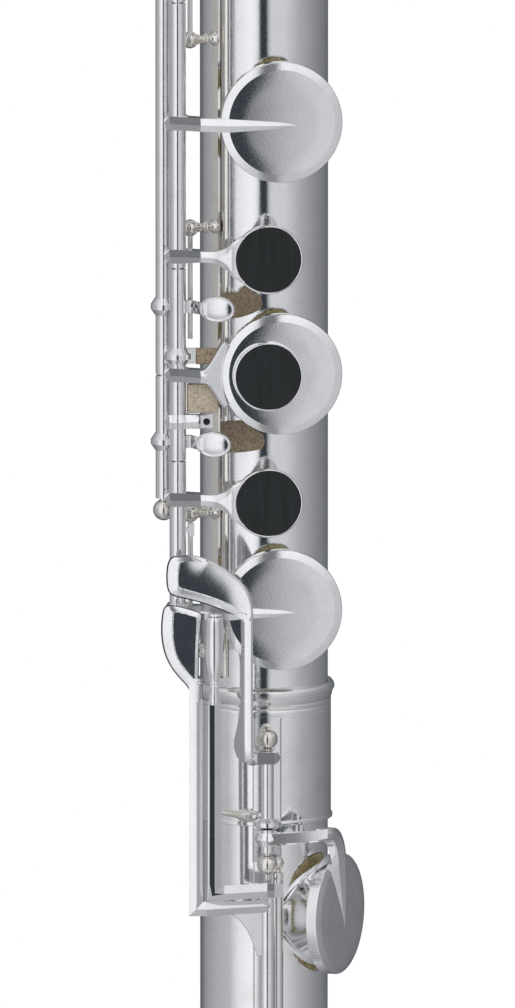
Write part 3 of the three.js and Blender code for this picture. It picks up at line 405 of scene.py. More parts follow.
def between(low, high, share):
    """A height that lies a share of the way from one hole of the body to another."""
    return HOLES[low] + (HOLES[high] - HOLES[low]) * share


def clear(height):
    return height + BALL + GAP


# What a picture of the flute measures, in its pixels: the tube's middle, the row at a known height,
# the pixels to a millimetre across and up, and the rows that a millimetre outwards takes
PICTURE_MIDDLE = 264
PICTURE_ROW = 504
PICTURE_HEIGHT = 304
PIXELS_ACROSS = 4.14
PIXELS_UP = 4.094
ROWS_OUT = 0.612


def from_picture(pixels, out):
    """Places given as picture columns and rows, carried to across and up the tube at a distance out."""
    level = PICTURE_ROW + ROWS_OUT * out
    return [
        ((x - PICTURE_MIDDLE) / PIXELS_ACROSS, PICTURE_HEIGHT + (level - y) / PIXELS_UP) for x, y in pixels
    ]


MAIN_ROD = polar(-43.8, TUBE + 14.56)
TRILL_ROD = polar(-54.1, TUBE + 14.4)
FOOT_ROD = polar(2.2, TUBE + 5.5)
LOW_ROD = polar(LOW_ANGLE, TUBE + 2.9)
SIDE_ROD = polar(SIDE - ROD_SWING, TUBE + 14.6)
THUMB_ROD = polar(THUMB + ROD_SWING, TUBE + 14.6)
SPRING = polar(-50.2, TUBE + 7.7)
ROW_ROD = seen_from(ROW, MAIN_ROD)
ROW_X, ROW_OUT = ROW_ROD[0], -ROW_ROD[1]

TRILL_TOP = HOLES["trill_lower"] + CUP * SMALL
TRILL_LOW_END = between("d", "e", 0.415)
TRILL_HIGH_END = TRILL_TOP + BALL * 2
TRILL_MEET = between("d", "e", 0.985)
TRILL_PART = between("trill_upper", "trill_lower", 0.56)
SPRINGS = {
    "spring_high": HOLES["f"] + CUP * 1.3,
    "spring_middle": between("e", "f", 0.566),
    "spring_low": between("d", "e", 0.39),
}
E_FLAT_POST = SOCKET_TOP - 11.3
LOW_POST = E_FLAT_POST - 30.8
C_SHARP_POST = FOOT_HOLES["c_sharp"] - 10.2
C_POST = FOOT_HOLES["c_low"] - 10.2
LIFT = TUBE + 12 + 1.8

# Materials


def feed(tree, made, inputs):
    """Gives a node's inputs their values, or links them to other nodes' outputs."""
    for key, value in inputs.items():
        if isinstance(value, bpy.types.NodeSocket):
            tree.links.new(value, made.inputs[key])
        else:
            made.inputs[key].default_value = value


def node(tree, kind, inputs, **settings):
    made = tree.nodes.new("ShaderNode" + kind)
    for name, value in settings.items():
        setattr(made, name, value)
    feed(tree, made, inputs)
    return made


def shader(name):
    material = bpy.data.materials.new(name)
    material.use_nodes = True
    tree = material.node_tree
    tree.nodes.clear()
    surface = node(tree, "BsdfPrincipled", {})
    node(tree, "OutputMaterial", {0: surface.outputs[0]})
    return material, tree, surface, node(tree, "TexCoord", {}).outputs["Object"]


def noise(tree, place, scale, detail):
    return node(tree, "TexNoise", {"Vector": place, "Scale": scale, "Detail": detail}).outputs["Fac"]


def ramp(tree, value, stops):
    made = node(tree, "ValToRGB", {0: value})
    for element, (position, colour) in zip(made.color_ramp.elements, (stops[0], stops[-1])):
        element.position = position
        element.color = (*colour, 1)
    for position, colour in stops[1:-1]:
        made.color_ramp.elements.new(position).color = (*colour, 1)
    return made.outputs[0]


def spread(tree, value, low, high):
    """Carries a noise's middle range to the range from low to high."""
    limits = {"From Min": 0.3, "From Max": 0.7, "To Min": low, "To Max": high}
    return node(tree, "MapRange", {0: value, **limits}).outputs[0]


def soft_step(tree, value, low, high):
    limits = {"From Min": low, "From Max": high}
    return node(tree, "MapRange", {0: value, **limits}, interpolation_type="SMOOTHSTEP").outputs[0]


def bump(tree, surface, height, strength, distance):
    made = node(tree, "Bump", {"Height": height, "Strength": strength, "Distance": distance})
    feed(tree, surface, {"Normal": made.outputs[0]})


PURE, TARNISHED = (0.96, 0.96, 0.965), (0.89, 0.885, 0.88)
GRAIN_DARK, GRAIN_PALE = (0.93, 0.93, 0.93), (1.0, 1.0, 1.0)
CLOUD_SCALE, GRAIN_SCALE, SPECK_SCALE = 160, 3300, 2600


def silver_look(name, smoothest, roughest, grain, tint=PURE, tarnish=TARNISHED):
    """Metal with a faint cloud of tarnish, a fine grain in its colour and small specks in its gloss."""
    material, tree, surface, place = shader(name)
    colour = ramp(tree, noise(tree, place, CLOUD_SCALE, 5), [(0.25, tarnish), (0.5, tint), (0.8, tint)])
    fine = ramp(tree, noise(tree, place, GRAIN_SCALE, 0), [(0.3, GRAIN_DARK), (0.7, GRAIN_PALE)])
    mixed = node(tree, "Mix", {0: 1.0, 6: colour, 7: fine}, data_type="RGBA", blend_type="MULTIPLY")
    speck = noise(tree, place, SPECK_SCALE, 2)
    rough = spread(tree, speck, smoothest, roughest)
    feed(tree, surface, {"Base Color": mixed.outputs[2], "Metallic": 1.0, "Roughness": rough})
    bump(tree, surface, speck, grain, 0.00002)
    return material


def cork_look(name, dark, middle, pale, scale):
    material, tree, surface, place = shader(name)
    cells = node(tree, "TexVoronoi", {"Vector": place, "Scale": scale})
    fine = noise(tree, place, scale * 1.7, 6)
    mixed = node(tree, "Math", {0: cells.outputs["Distance"], 1: fine}, operation="MULTIPLY")
    colour = ramp(tree, fine, [(0.3, dark), (0.46, middle), (0.62, pale), (0.75, middle)])
    feed(tree, surface, {"Base Color": colour, "Roughness": 0.92})
    bump(tree, surface, mixed.outputs[0], 0.6, 0.0002)
    return material


def skin_look():
    """Thin folded leather."""
    material, tree, surface, place = shader("pad_skin")
    fold = noise(tree, place, 700, 6)
    # The leather's colours are lifted above its own tone: painted light that makes up for the shade under the
    # cup
    colour = ramp(tree, fold, [
        (0.3, (0.34, 0.27, 0.12)), (0.5, (0.52, 0.43, 0.22)), (0.7, (0.64, 0.54, 0.31)),
    ])
    feed(tree, surface, {"Base Color": colour, "Roughness": 0.5})
    bump(tree, surface, fold, 0.4, 0.0001)
    return material


def painted_reflection_look():
    """Nearly black gloss with faint streaks up and down, both a painted reflection of the dark strip where the
    camera stands.
    """
    material, tree, surface, place = shader("inlay_painted_reflection")
    # The near-black colour and its streaks are a painted reflection: they stand for the dark strip that a
    # polished plate face turned to the camera shows
    stretched = node(tree, "Mapping", {"Vector": place, "Scale": (1, 1, 0.08)}).outputs[0]
    painted_streak = noise(tree, stretched, 900, 4)
    colour = ramp(tree, painted_streak, [(0.3, (0.009, 0.011, 0.012)), (0.7, (0.016, 0.019, 0.021))])
    feed(tree, surface, {"Base Color": colour, "Roughness": 0.12, "Specular IOR Level": 0.3})
    bump(tree, surface, painted_streak, 0.05, 0.00002)
    return material


# Each look is a material and the slot that it fills
SILVER = silver_look("silver_polished", 0.05, 0.1, 0.12), "silver"
TUBE_SILVER = silver_look("silver_tube", 0.07, 0.13, 0.25), "silver"
CUP_SILVER = silver_look("silver_cup", 0.08, 0.15, 0.3), "silver"
WARM = silver_look("silver_warm", 0.06, 0.12, 0.12, (0.9, 0.87, 0.82), (0.8, 0.74, 0.66)), "silver"
DRAWN = silver_look("drawn_steel", 0.12, 0.22, 0.1, (0.8, 0.79, 0.77), (0.7, 0.68, 0.64)), "steel"
CORK = cork_look("cork_brown", (0.15, 0.11, 0.075), (0.27, 0.21, 0.15), (0.35, 0.28, 0.2), 900), "cork"
PALE_CORK = cork_look("cork_pale", (0.33, 0.27, 0.19), (0.47, 0.4, 0.31), (0.56, 0.5, 0.41), 1100), "pale_cork"
BLUED = silver_look("steel_blued", 0.25, 0.4, 0.2, (0.05, 0.055, 0.07), (0.03, 0.03, 0.035)), "steel"
# Pad leather, lightened with painted light against the shade under its cup
SKIN = skin_look(), "pad"
# The finger plates' inlays: near-black colour painted to stand for a reflection of the dark strip
PAINTED_REFLECTION = painted_reflection_look(), "inlay"

# Pieces


def mesh_of(name, shape):
    """A mesh of a shape, with its faces turned outwards."""
    mesh = bpy.data.meshes.new(name)
    mesh.from_pydata([point * MM for point in shape.points], [], shape.faces)
    mesh.validate()
    work = bmesh.new()
    work.from_mesh(mesh)
    bmesh.ops.recalc_face_normals(work, faces=work.faces)
    work.to_mesh(mesh)
    work.free()
    return mesh


def linked(name, data):
    made = bpy.data.objects.new(name, data)
    bpy.context.scene.collection.objects.link(made)
    return made


def shaded(mesh, material, sharp):
    mesh.materials.clear()
    mesh.materials.append(material)
    mesh.polygons.foreach_set("use_smooth", [True] * len(mesh.polygons))
    mesh.set_sharp_from_angle(angle=math.radians(sharp))


def seat(piece, body, part):
    """Lets a piece ride on a body, and hides the CAD node that it stands for."""
    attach(piece, body)
    if part:
        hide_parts(part)


def add(name, shape, look, body, part=None, bevel=0.0, sharp=32):
    """Makes a piece from a shape, which may stand for a part of the frame."""
    mesh = mesh_of(name, shape)
    shaded(mesh, look[0], sharp)
    piece = linked(name, mesh)
    if bevel:
        edge = piece.modifiers.new("edges", "BEVEL")
        edge.width = bevel * MM
        edge.segments = 2
        edge.limit_method = "ANGLE"
        edge.angle_limit = math.radians(30)
        edge.harden_normals = True
    seat(piece, body, part)
    return piece


def drilled(name, shape, cutters, axis_x, body, part):
    """A tube with holes cut through its wall, its normals set from its true round surface."""
    tube = linked(name + "_whole", mesh_of(name + "_whole", shape))
    used = [tube]
    for group in cutters:
        cutter = linked(name + "_cutter", mesh_of(name + "_cutter", total(group)))
        used.append(cutter)
        holes = tube.modifiers.new("holes", "BOOLEAN")
        holes.operation = "DIFFERENCE"
        holes.solver = "EXACT"
        holes.object = cutter
    mesh = bpy.data.meshes.new_from_object(tube.evaluated_get(bpy.context.evaluated_depsgraph_get()))
    mesh.name = name
    for one in used:
        bpy.data.objects.remove(one)
    shaded(mesh, TUBE_SILVER[0], 32)
    normals = [Vector(corner.vector) for corner in mesh.corner_normals]
    for face in mesh.polygons:
        reach = [
            math.hypot(mesh.vertices[v].co.x / MM - axis_x, mesh.vertices[v].co.y / MM) for v in face.vertices
        ]
        for radius, side in ((TUBE, 1), (BORE, -1)):
            if abs(face.normal.z) < 0.1 and all(abs(r - radius) < 0.05 for r in reach):
                for loop in face.loop_indices:
                    point = mesh.vertices[mesh.loops[loop].vertex_index].co
                    normals[loop] = Vector((point.x - axis_x * MM, point.y, 0)).normalized() * side
    mesh.normals_split_custom_set(normals)
    seat(linked(name, mesh), body, part)


def tube_shape(low, high):
    edge = 0.1
    return lathe([
        (BORE, low), (TUBE - edge, low), (TUBE, low + edge), (TUBE, high - edge), (TUBE - edge, high),
        (BORE, high), (BORE, low),
    ], TUBE_SIDES)


def drill(height, angle, share=1.0):
    return facing(disc(HOLE * share, 5, CHIMNEY_TOP + 3), height).turned(angle)


FLARE = 1.1
FLARE_STEPS = 6
# How far each corner of a hole's rim is off its outside or its bore, and how far below its top
RIM_OUTSIDE = [(0, 0.5), (0.1, 0.35), (0.12, 0.2), (0, 0.05), (-0.3, 0)]
RIM_INSIDE = [(0.15, 0.05), (0, 0.2)]


def chimney(height, angle, share=1.0):
    """A drawn hole rim that grows out of the tube with a soft fillet."""
    outer, inner = CHIMNEY * share, HOLE * share
    rows = []
    for k in range(FLARE_STEPS + 1):
        turn = math.radians(90 * k / FLARE_STEPS)
        rows.append((outer + FLARE * (1 - math.sin(turn)), FLARE * (1 - math.cos(turn)), TUBE - 0.03, None))
    for radius, corners in ((outer, RIM_OUTSIDE), (inner, RIM_INSIDE)):
        rows += [(radius + more, 0, TUBE, CHIMNEY_TOP - down) for more, down in corners]
    rows += [(inner, -0.2, BORE, None), (outer + FLARE * 0.6, -0.3, TUBE, None)]
    made = []
    for reach, lift, wall, top in rows:
        row = []
        for turn in turns(SIDES):
            x, z = reach * math.cos(turn), reach * math.sin(turn)
            out = top if top is not None else math.sqrt(max(wall * wall - x * x, 0)) + lift
            row.append(Vector((x, -out, height + z)))
        made.append(row)
    return grid(made, caps=False, loop=True).turned(angle)


def strap(inner, outer, centre, width, low, high, steps=10, fall=0.0):
    """A strip bent round the tube, whose long edges may fall away."""
    rows = []
    for i in range(steps + 1):
        angle = centre - width / 2 + width * i / steps
        a, b = polar(angle, inner), polar(angle, outer - (fall if i in (0, steps) else 0))
        rows.append([Vector((*a, low)), Vector((*b, low)), Vector((*b, high)), Vector((*a, high))])
    return grid(rows)


POST_PROFILE = [
    (2.0, 0.0), (2.0, 0.08), (1.5, 0.16), (1.15, 0.24), (1.1, 0.32), (1.5, 0.36), (1.75, 0.41), (1.5, 0.46),
    (1.1, 0.5), (1.05, 0.6), (1.3, 0.7), (1.4, 1.0),
]


def post(place, height, foot_angle, foot_radius, radius=BALL, share=1.0):
    """A turned post on its rib, with a ball round the rod."""
    foot = polar(foot_angle, foot_radius)
    profile = [(0, 0)] + [(r * share, s) for r, s in smooth(POST_PROFILE, 4)] + [(0, 1)]
    stem = between_points(profile, (*foot, height), (*place, height))
    return stem + ball((*place, height), radius)


# Cups, pads and arms

CUP_STEPS = 16
CUP_KNEE = 0.66
BEVEL_SLOPES = ((0.5, 18.0), (0.42, 21.0))


def cup_profile(share):
    """A cup's face falls a little from its middle, more past the knee, then over the bevel to its rim."""
    radius = CUP * share
    width = BEVEL * share
    crease = radius - width
    profile = []
    height = FACE + 0.3
    last = 0.0
    for i in range(CUP_STEPS + 1):
        r = crease * i / CUP_STEPS
        middle = (r + last) / 2 / crease
        past = 5.0 * (middle - CUP_KNEE) / (1 - CUP_KNEE)
        slope = 1.6 * middle / CUP_KNEE if middle < CUP_KNEE else 1.6 + past
        height -= (r - last) * math.tan(math.radians(slope))
        last = r
        profile.append((r, height))
    for part, slope in BEVEL_SLOPES:
        height -= width * part * math.tan(math.radians(slope))
        last += width * part
        profile.append((last, height))
    return profile + [
        (radius - 0.04, height - 0.1), (radius, height - 0.25), (radius, PAD_LOW + 0.5),
        (radius - 0.1, PAD_LOW + 0.4), (radius - 0.3, PAD_LOW + 0.4), (radius - 0.4, PAD_LOW + 0.5),
        (radius - 0.42, CEILING - 0.1), (radius - 0.6, CEILING), (0, CEILING),
    ]


def cup(height, share=1.0, lean=0.0):
    """A cup, its face leant a little about the tube's own direction."""
    turn = Matrix.Translation((0, -CEILING, 0)) @ Matrix.Rotation(math.radians(lean), 4, "Z")
    shape = facing(lathe(cup_profile(share), CUP_SIDES), height)
    return shape.put(turn @ Matrix.Translation((0, CEILING, 0)))


def pad_shape(height, share=1.0):
    """A pad, puffed up a little round its seat."""
    radius = CUP * share - 0.45
    puff = [(0.6, 0.03), (0.3, 0.12), (0.1, 0.32), (0, 0.6)]
    profile = [(0, PAD_LOW + 0.12), (radius * 0.2, PAD_LOW + 0.06), (radius * 0.86, PAD_LOW + 0.02)]
    profile += [(radius - inwards, PAD_LOW + up) for inwards, up in puff]
    profile += [(radius - 0.03, PAD_HIGH - 0.5), (radius - 0.3, PAD_HIGH - 0.1), (0, PAD_HIGH)]
    return facing(lathe(profile), height)


def roof_ring(place, height, ridge=RIDGE, shoulder=SHOULDER, half=1.75):
    """The end of an arm where it wraps round its hinge tube, with a ridge round its middle."""
    profile = [(0, -half), (shoulder, -half), (ridge, 0), (shoulder, half), (0, half)]
    return round_place(profile, place, RING_SIDES, height)


def tall_ring(place, height, ridge=RIDGE, flat=0.6, half=2.1):
    """A ring round a hinge tube with a flat band on its ridge."""
    low = HINGE + 0.1
    profile = [(0, -half), (low, -half), (ridge, -flat), (ridge, flat), (low, half), (0, half)]
    return round_place(profile, place, RING_SIDES, height)


# An arm's crest over its rod's middle, its slope there, its thick start's reach, and its roof's height
ARM_RISE = 3.45
ROOT_SLOPE = 0.105
ROOT = 5.5
ROOF = 0.75
LEAN = -1.5
# An arm's half width at its rod and where its thick start ends, and how far it climbs at both
SLIM_ROOT = (1.65, 1.6, 0.2, -0.35)
PLATE_ROOT = (1.7, 1.35, 0.5, 0.4)


def root(place, height, half, end, far, near):
    """The thick start of an arm, which covers the hinge tube with a roof and has a point on its far side."""
    side = 1 if place[0] < 0 else -1
    top = -place[1] + ARM_RISE
    low = -place[1] - 1
    return arm([
        (place[0] - side * 3.2, 0.15, low, top - 2.2, 0.1, far),
        (place[0] - side * 2.3, half, low, top - 2.3 * ROOT_SLOPE, ROOF, far),
        (place[0], half, low, top, ROOF, far * 0.7 + near * 0.3),
        (place[0] + side * ROOT, end, low, top + ROOT * ROOT_SLOPE, ROOF, near),
    ], height)


def root_level(place):
    return -place[1] + ARM_RISE + ROOT * ROOT_SLOPE


def pointed_arm(place, height, share=1.0):
    """A slim roofed arm from the rod that runs out to a point past the middle of the cup."""
    side = 1 if place[0] > 0 else -1
    edge = CUP * share
    start = abs(place[0]) - ROOT
    level = root_level(place)
    crest = FACE + 1.4
    lip = min(level, crest)
    under = CEILING + 0.4
    rise = []
    if start > edge:
        part = (start + 0.1 - edge) / (start + 2.3 - edge)
        rise = [(side * (edge + 0.2), 1.62, CEILING - 1.2, lip + (crest - lip) * part, ROOF, -0.4)]
    return root(place, height, *SLIM_ROOT) + arm([
        (side * (start + 0.3), 1.6, level - 2.6, lip - 0.02, ROOF, -0.35), *rise,
        (side * (edge - 2.0), 1.62, under, crest, 0.7, -0.42),
        (side * (edge - 2.2), 1.61, under, crest - 0.01, 0.7, -0.42),
        (0, 0.75, under, FACE + 0.95, 0.5, -0.55),
        (-side * 3.7 * max(share, 0.6), 0.12, under, FACE + 0.32, 0.1, -0.6),
    ], height)


def plate_arm(place, height):
    """A roofed arm that opens like a fan under the rim of a finger plate."""
    level = root_level(place)
    start = PLATE_ACROSS - PLATE
    return root(place, height, *PLATE_ROOT) + arm([
        (place[0] + ROOT - 0.3, 1.3, level - 2.4, level, 0.7, 0.4, 0.03),
        (start - 4.7, 1.4, level - 1.6, level + 0.85, 0.7, 0.3, 0.05),
        (start - 3.2, 1.85, level - 0.6, level + 1.5, 0.65, 0.2, 0.35),
        (start - 1.8, 2.6, level + 0.6, level + 2.0, 0.55, 0.1, 1.2),
        (start - 0.8, 3.5, PLATE_UNDER, PLATE_FACE - 0.82, 0.4, 0, 2.4),
        (start + 0.3, 4.5, PLATE_UNDER, PLATE_FACE - 0.58, 0.25, 0, 3.8),
        (start + 2.6, 5.9, PLATE_UNDER, PLATE_FACE - 0.12, 0.2, 0, 5.4),
    ], height, steps=5)


# Half of the web's outline: how far across and off the arm's middle
WEB = [(-19.4, 1.0), (-18.4, 1.6), (-17.3, 2.9), (-16.3, 4.5), (-15.4, 6.1), (-14.6, 7.4), (-13.8, 8.1)]


def fork_arm(place, height):
    """A roofed arm that opens into a web and hugs the near side of a cup."""
    level = root_level(place)
    top = FACE - BEVEL_DROP + 0.15
    neck = arm([
        (place[0] + ROOT - 0.3, 1.45, level - 2.4, level, 0.6, -0.35),
        (-17.6, 1.8, CEILING - 1.4, top - 0.1, 0.4, -0.25, 0.6),
        (-16.4, 2.6, CEILING - 1.4, top - 0.3, 0.2, 0, 1.5),
    ], height)
    reach = CUP - 0.3
    outline = [(x, height + z) for x, z in WEB]
    for i in range(13):
        angle = math.radians(150 + 60 * i / 12)
        outline.append((reach * math.cos(angle), height + reach * math.sin(angle)))
    outline += [(x, height - z) for x, z in reversed(WEB)]
    return root(place, height, *SLIM_ROOT) + neck + block(outline, CEILING - 1.5, top, 0.45)


def plate_ring(height, low=PLATE_UNDER):
    """A finger plate with a thin rim round the hollow for its inlay."""
    return facing(lathe([
        (0, low), (PLATE - 0.35, low), (PLATE, low + 0.35), (PLATE, PLATE_FACE - 0.3),
        (PLATE - 0.12, PLATE_FACE - 0.08), (PLATE - 0.28, PLATE_FACE), (INLAY + 0.06, PLATE_FACE - 0.04),
        (INLAY + 0.01, PLATE_FACE - 0.15), (INLAY, PLATE_FACE - 1.1), (0, PLATE_FACE - 1.1),
    ]), height, PLATE_ACROSS)


def inlay_shape(height):
    low = PLATE_FACE - 0.85
    return facing(lathe([
        (0, low), (7.6, low), (7.75, low + 0.1), (7.86, PLATE_FACE - 0.2), (7.8, PLATE_FACE - 0.1),
        (0, PLATE_FACE - 0.06),
    ]), height, PLATE_ACROSS)


def hinge_tube(place, low, high, radius=HINGE):
    edge, bore = 0.15, STEEL + 0.15
    return round_place([
        (bore, low), (radius - edge, low), (radius, low + edge), (radius, high - edge),
        (radius - edge, high), (bore, high), (bore, low),
    ], place, HINGE_SIDES)


def both(turned, filed, cups=Shape()):
    """Turned parts keep their own edges, filed parts get soft ones, and cups keep a crisp crease."""
    return turned, filed, cups


def joined(*keys):
    return tuple(total(parts) for parts in zip(*keys))


def plain_cup(height, place, share=1.0, lean=0.0):
    return both(roof_ring(place, height), pointed_arm(place, height, share), cup(height, share, lean))


def plate(height):
    return both(plate_ring(height) + roof_ring(ROW_ROD, height + 0.45, half=1.5), plate_arm(ROW_ROD, height))


def add_key(name, parts, hung=None, body=None):
    """A key's turned and filed pieces and its cups, which ride together and stand for its CAD node."""
    turned, filed, cups = [hung(shape) if hung else shape for shape in parts]
    body = body or name
    add(name + "_turned", turned, CUP_SILVER, body, name)
    add(name + "_filed", filed, SILVER, body, bevel=0.12, sharp=14)
    add(name + "_cup", cups, CUP_SILVER, body, sharp=9)


def add_pad(name, height, angle, place, swing, body, share=1.0):
    skin = add(name + "_skin", hang(pad_shape(height, share), angle, place, swing), SKIN, body, name)


# Tubes

# A ring's corners: how far inside its rim, and how high. The first and last lie on the tube
FOOT_RING = [(0.4, 0.02), (0.05, 0.5), (0, 1.2), (0.12, 1.6), (0, 2.0), (0, 3.2), (0.3, 4.0)]


def row_share(key):
    return SMALL if key == "c" else 1.0


def make_tubes():
    row = [(HOLES[key], ROW, row_share(key)) for key in ROW_HOLES]
    others = [
        (HOLES["thumb"], THUMB, 1.0), (HOLES["g_low"], SIDE, 1.0),
        (HOLES["trill_upper"], TRILL, SMALL), (HOLES["trill_lower"], TRILL, SMALL),
    ]
    foot = [(FOOT_HOLES["e_flat"], E_FLAT), (FOOT_HOLES["c_sharp"], LOW), (FOOT_HOLES["c_low"], LOW)]
    # Cutters that touch each other go in groups of their own
    cutters = [[drill(*one) for one in group] for group in (row, others)]
    drilled("body_tube_drawn", tube_shape(BODY_BOTTOM, BODY_TOP), cutters, 0, "body", "body_tube")
    add("body_tone_holes", total(chimney(*one) for one in row + others), TUBE_SILVER, "body", sharp=50)
    cutters = [[drill(*one) for one in foot]]
    drilled("foot_tube_drawn", tube_shape(0, FOOT_TOP), cutters, 0, "foot", "foot_tube")
    ring, wall = TUBE + RING_RISE, TUBE - 0.02
    end = lathe([
        (wall, 0.02), *((ring - inside, up) for inside, up in FOOT_RING), (wall, RING_HEIGHT), (wall, 0.02),
    ], TUBE_SIDES)
    add("foot_tone_holes", total(chimney(*one) for one in foot) + end, TUBE_SILVER, "foot", sharp=50)


# A socket's corners: how far off its outside, and over its foot or under its top. The last hold radii
SOCKET_FOOT = [(0.1, 0), (0.35, 0.2), (0.4, 0.6), (0.3, 1.0), (-0.05, 1.15), (0, 1.4)]
SOCKET_GROOVES = [
    (0, 7.3), (-0.1, 7.2), (0, 7.1), (0, 6.6), (-0.14, 6.45), (0, 6.3), (0, 5.5), (-0.14, 5.3), (0, 5.1),
    (0.02, 4.3), (-0.14, 4.1), (0.03, 3.95), (0.5, 2.1), (0.35, 2.0), (0.4, 1.9),
]
SOCKET_MOUTH = [(17.05, 1.8), (17.12, 1.5), (17.1, 0.95), (16.95, 0.6), (16.5, -0.05), (16.2, -0.15)]


def socket_profile(low, top):
    """A socket with a turned ring at its mouth and fine grooves under it."""
    outer = SOCKET_OUT - 0.15
    return [
        (SOCKET_IN, low), *((outer + more, low + up) for more, up in SOCKET_FOOT),
        *((outer + more, top - down) for more, down in SOCKET_GROOVES),
        *((radius, top - down) for radius, down in SOCKET_MOUTH),
        (SOCKET_IN + 0.1, top + 0.15), (SOCKET_IN, top), (SOCKET_IN, low),
    ]


def make_sockets():
    foot = lathe(socket_profile(SOCKET_LOW, SOCKET_TOP), TUBE_SIDES)
    add("foot_socket_turned", foot, TUBE_SILVER, "foot", "foot_socket", sharp=40)
    head = lathe(socket_profile(BODY_TOP - 14, BODY_TOP + 34), TUBE_SIDES)
    add("head_socket_turned", head, TUBE_SILVER, "body", "head_socket", sharp=40)


POST_SEAT = RIB_OUT - 0.6
NEEDLE, NEEDLE_STUB, NEEDLE_LENGTH = 0.62, 1.6, 27


def make_rib_and_rods():
    low, high = SOCKET_TOP + RING_HEIGHT / 2, TRILL_TOP + CUP
    shape = strap(RIB_IN - 0.25, RIB_OUT - 0.25, RIB_ANGLE, 9, low, high, 8, 0.5)
    shape = shape + strap(RIB_IN - 0.28, RIB_IN + 0.2, RIB_ANGLE + 1.5, 19, low + 0.4, high - 0.4, 10, 0.3)
    for key in ("low_post", "mid_post", "high_post", "top_post"):
        shape = shape + post(MAIN_ROD, STATIONS[key], RIB_ANGLE, POST_SEAT)
    for height in (TRILL_LOW_END, TRILL_HIGH_END):
        shape = shape + post(TRILL_ROD, height, RIB_ANGLE - 2.2, POST_SEAT, share=0.9)
    for height in SPRINGS.values():
        shape = shape + post(SPRING, height, RIB_ANGLE, POST_SEAT, 2.05, 0.9)
    add("body_rib_turned", shape, WARM, "body", "body_rib")
    end = BALL - GAP
    steel = rod(MAIN_ROD, STEEL, STATIONS["low_post"] - end, STATIONS["top_post"] + end)
    add("main_steel_drawn", steel, DRAWN, "body", "main_steel")
    for name, height in SPRINGS.items():
        below, above = (NEEDLE_STUB, NEEDLE_LENGTH) if name == "spring_high" else (NEEDLE_LENGTH, NEEDLE_STUB)
        needle = rod(SPRING, NEEDLE, height - below, height + above, NEEDLE_SIDES)
        add(name + "_needle", needle, SILVER, "body", name)


# The main row of keys


def in_row(shape):
    return hang(shape, ROW, ROW_ROD, -OPEN)


def row_cup(key):
    return plain_cup(HOLES[key], ROW_ROD, row_share(key), LEAN)


def spring_hook(height):
    """A small square lug on a hinge tube that the needle spring presses on."""
    near = ROW_X + 2.0
    lug = bar(near, near + 1.3, 0.55, 0.4, ROW_OUT - 1.6, ROW_OUT - 0.6, height)
    tip = bar(near + 0.7, near + 2.1, 1.6, 1.4, ROW_OUT - 1.9, ROW_OUT - 0.9, height)
    return both(Shape(), lug + tip)


def tab(height, half, near, far, under):
    return bar(near, far, half, half - 0.2, under, under + 0.85, height)


LUG_TOP = ROW_OUT + ARM_RISE
LUG_END = ROW_X + 8.3
SCREW = [(0, 2.2), (0.85, 2.2), (0.85, 1.44), (0.7, 1.38), (0, 1.42)]


def screw_lug(height):
    """A roofed lug whose end carries a small slotted screw."""
    low = ROW_OUT - 1
    shape = arm([
        (ROW_X - 3.2, 0.15, low, LUG_TOP - 2.2, 0.1), (ROW_X - 2.3, 1.7, low, LUG_TOP - 0.6, 0.8),
        (ROW_X, 1.7, low, LUG_TOP - 0.6, 0.8), (LUG_END - 3.6, 1.7, ROW_OUT, LUG_TOP - 0.9, 0.8),
        (LUG_END - 3.0, 1.7, ROW_OUT, LUG_TOP - 1.5, 0.05, 0, 1.5),
        (LUG_END, 1.6, ROW_OUT, LUG_TOP - 1.5, 0.05, 0, 1.45),
    ], height)
    return both(roof_ring(ROW_ROD, height), shape)


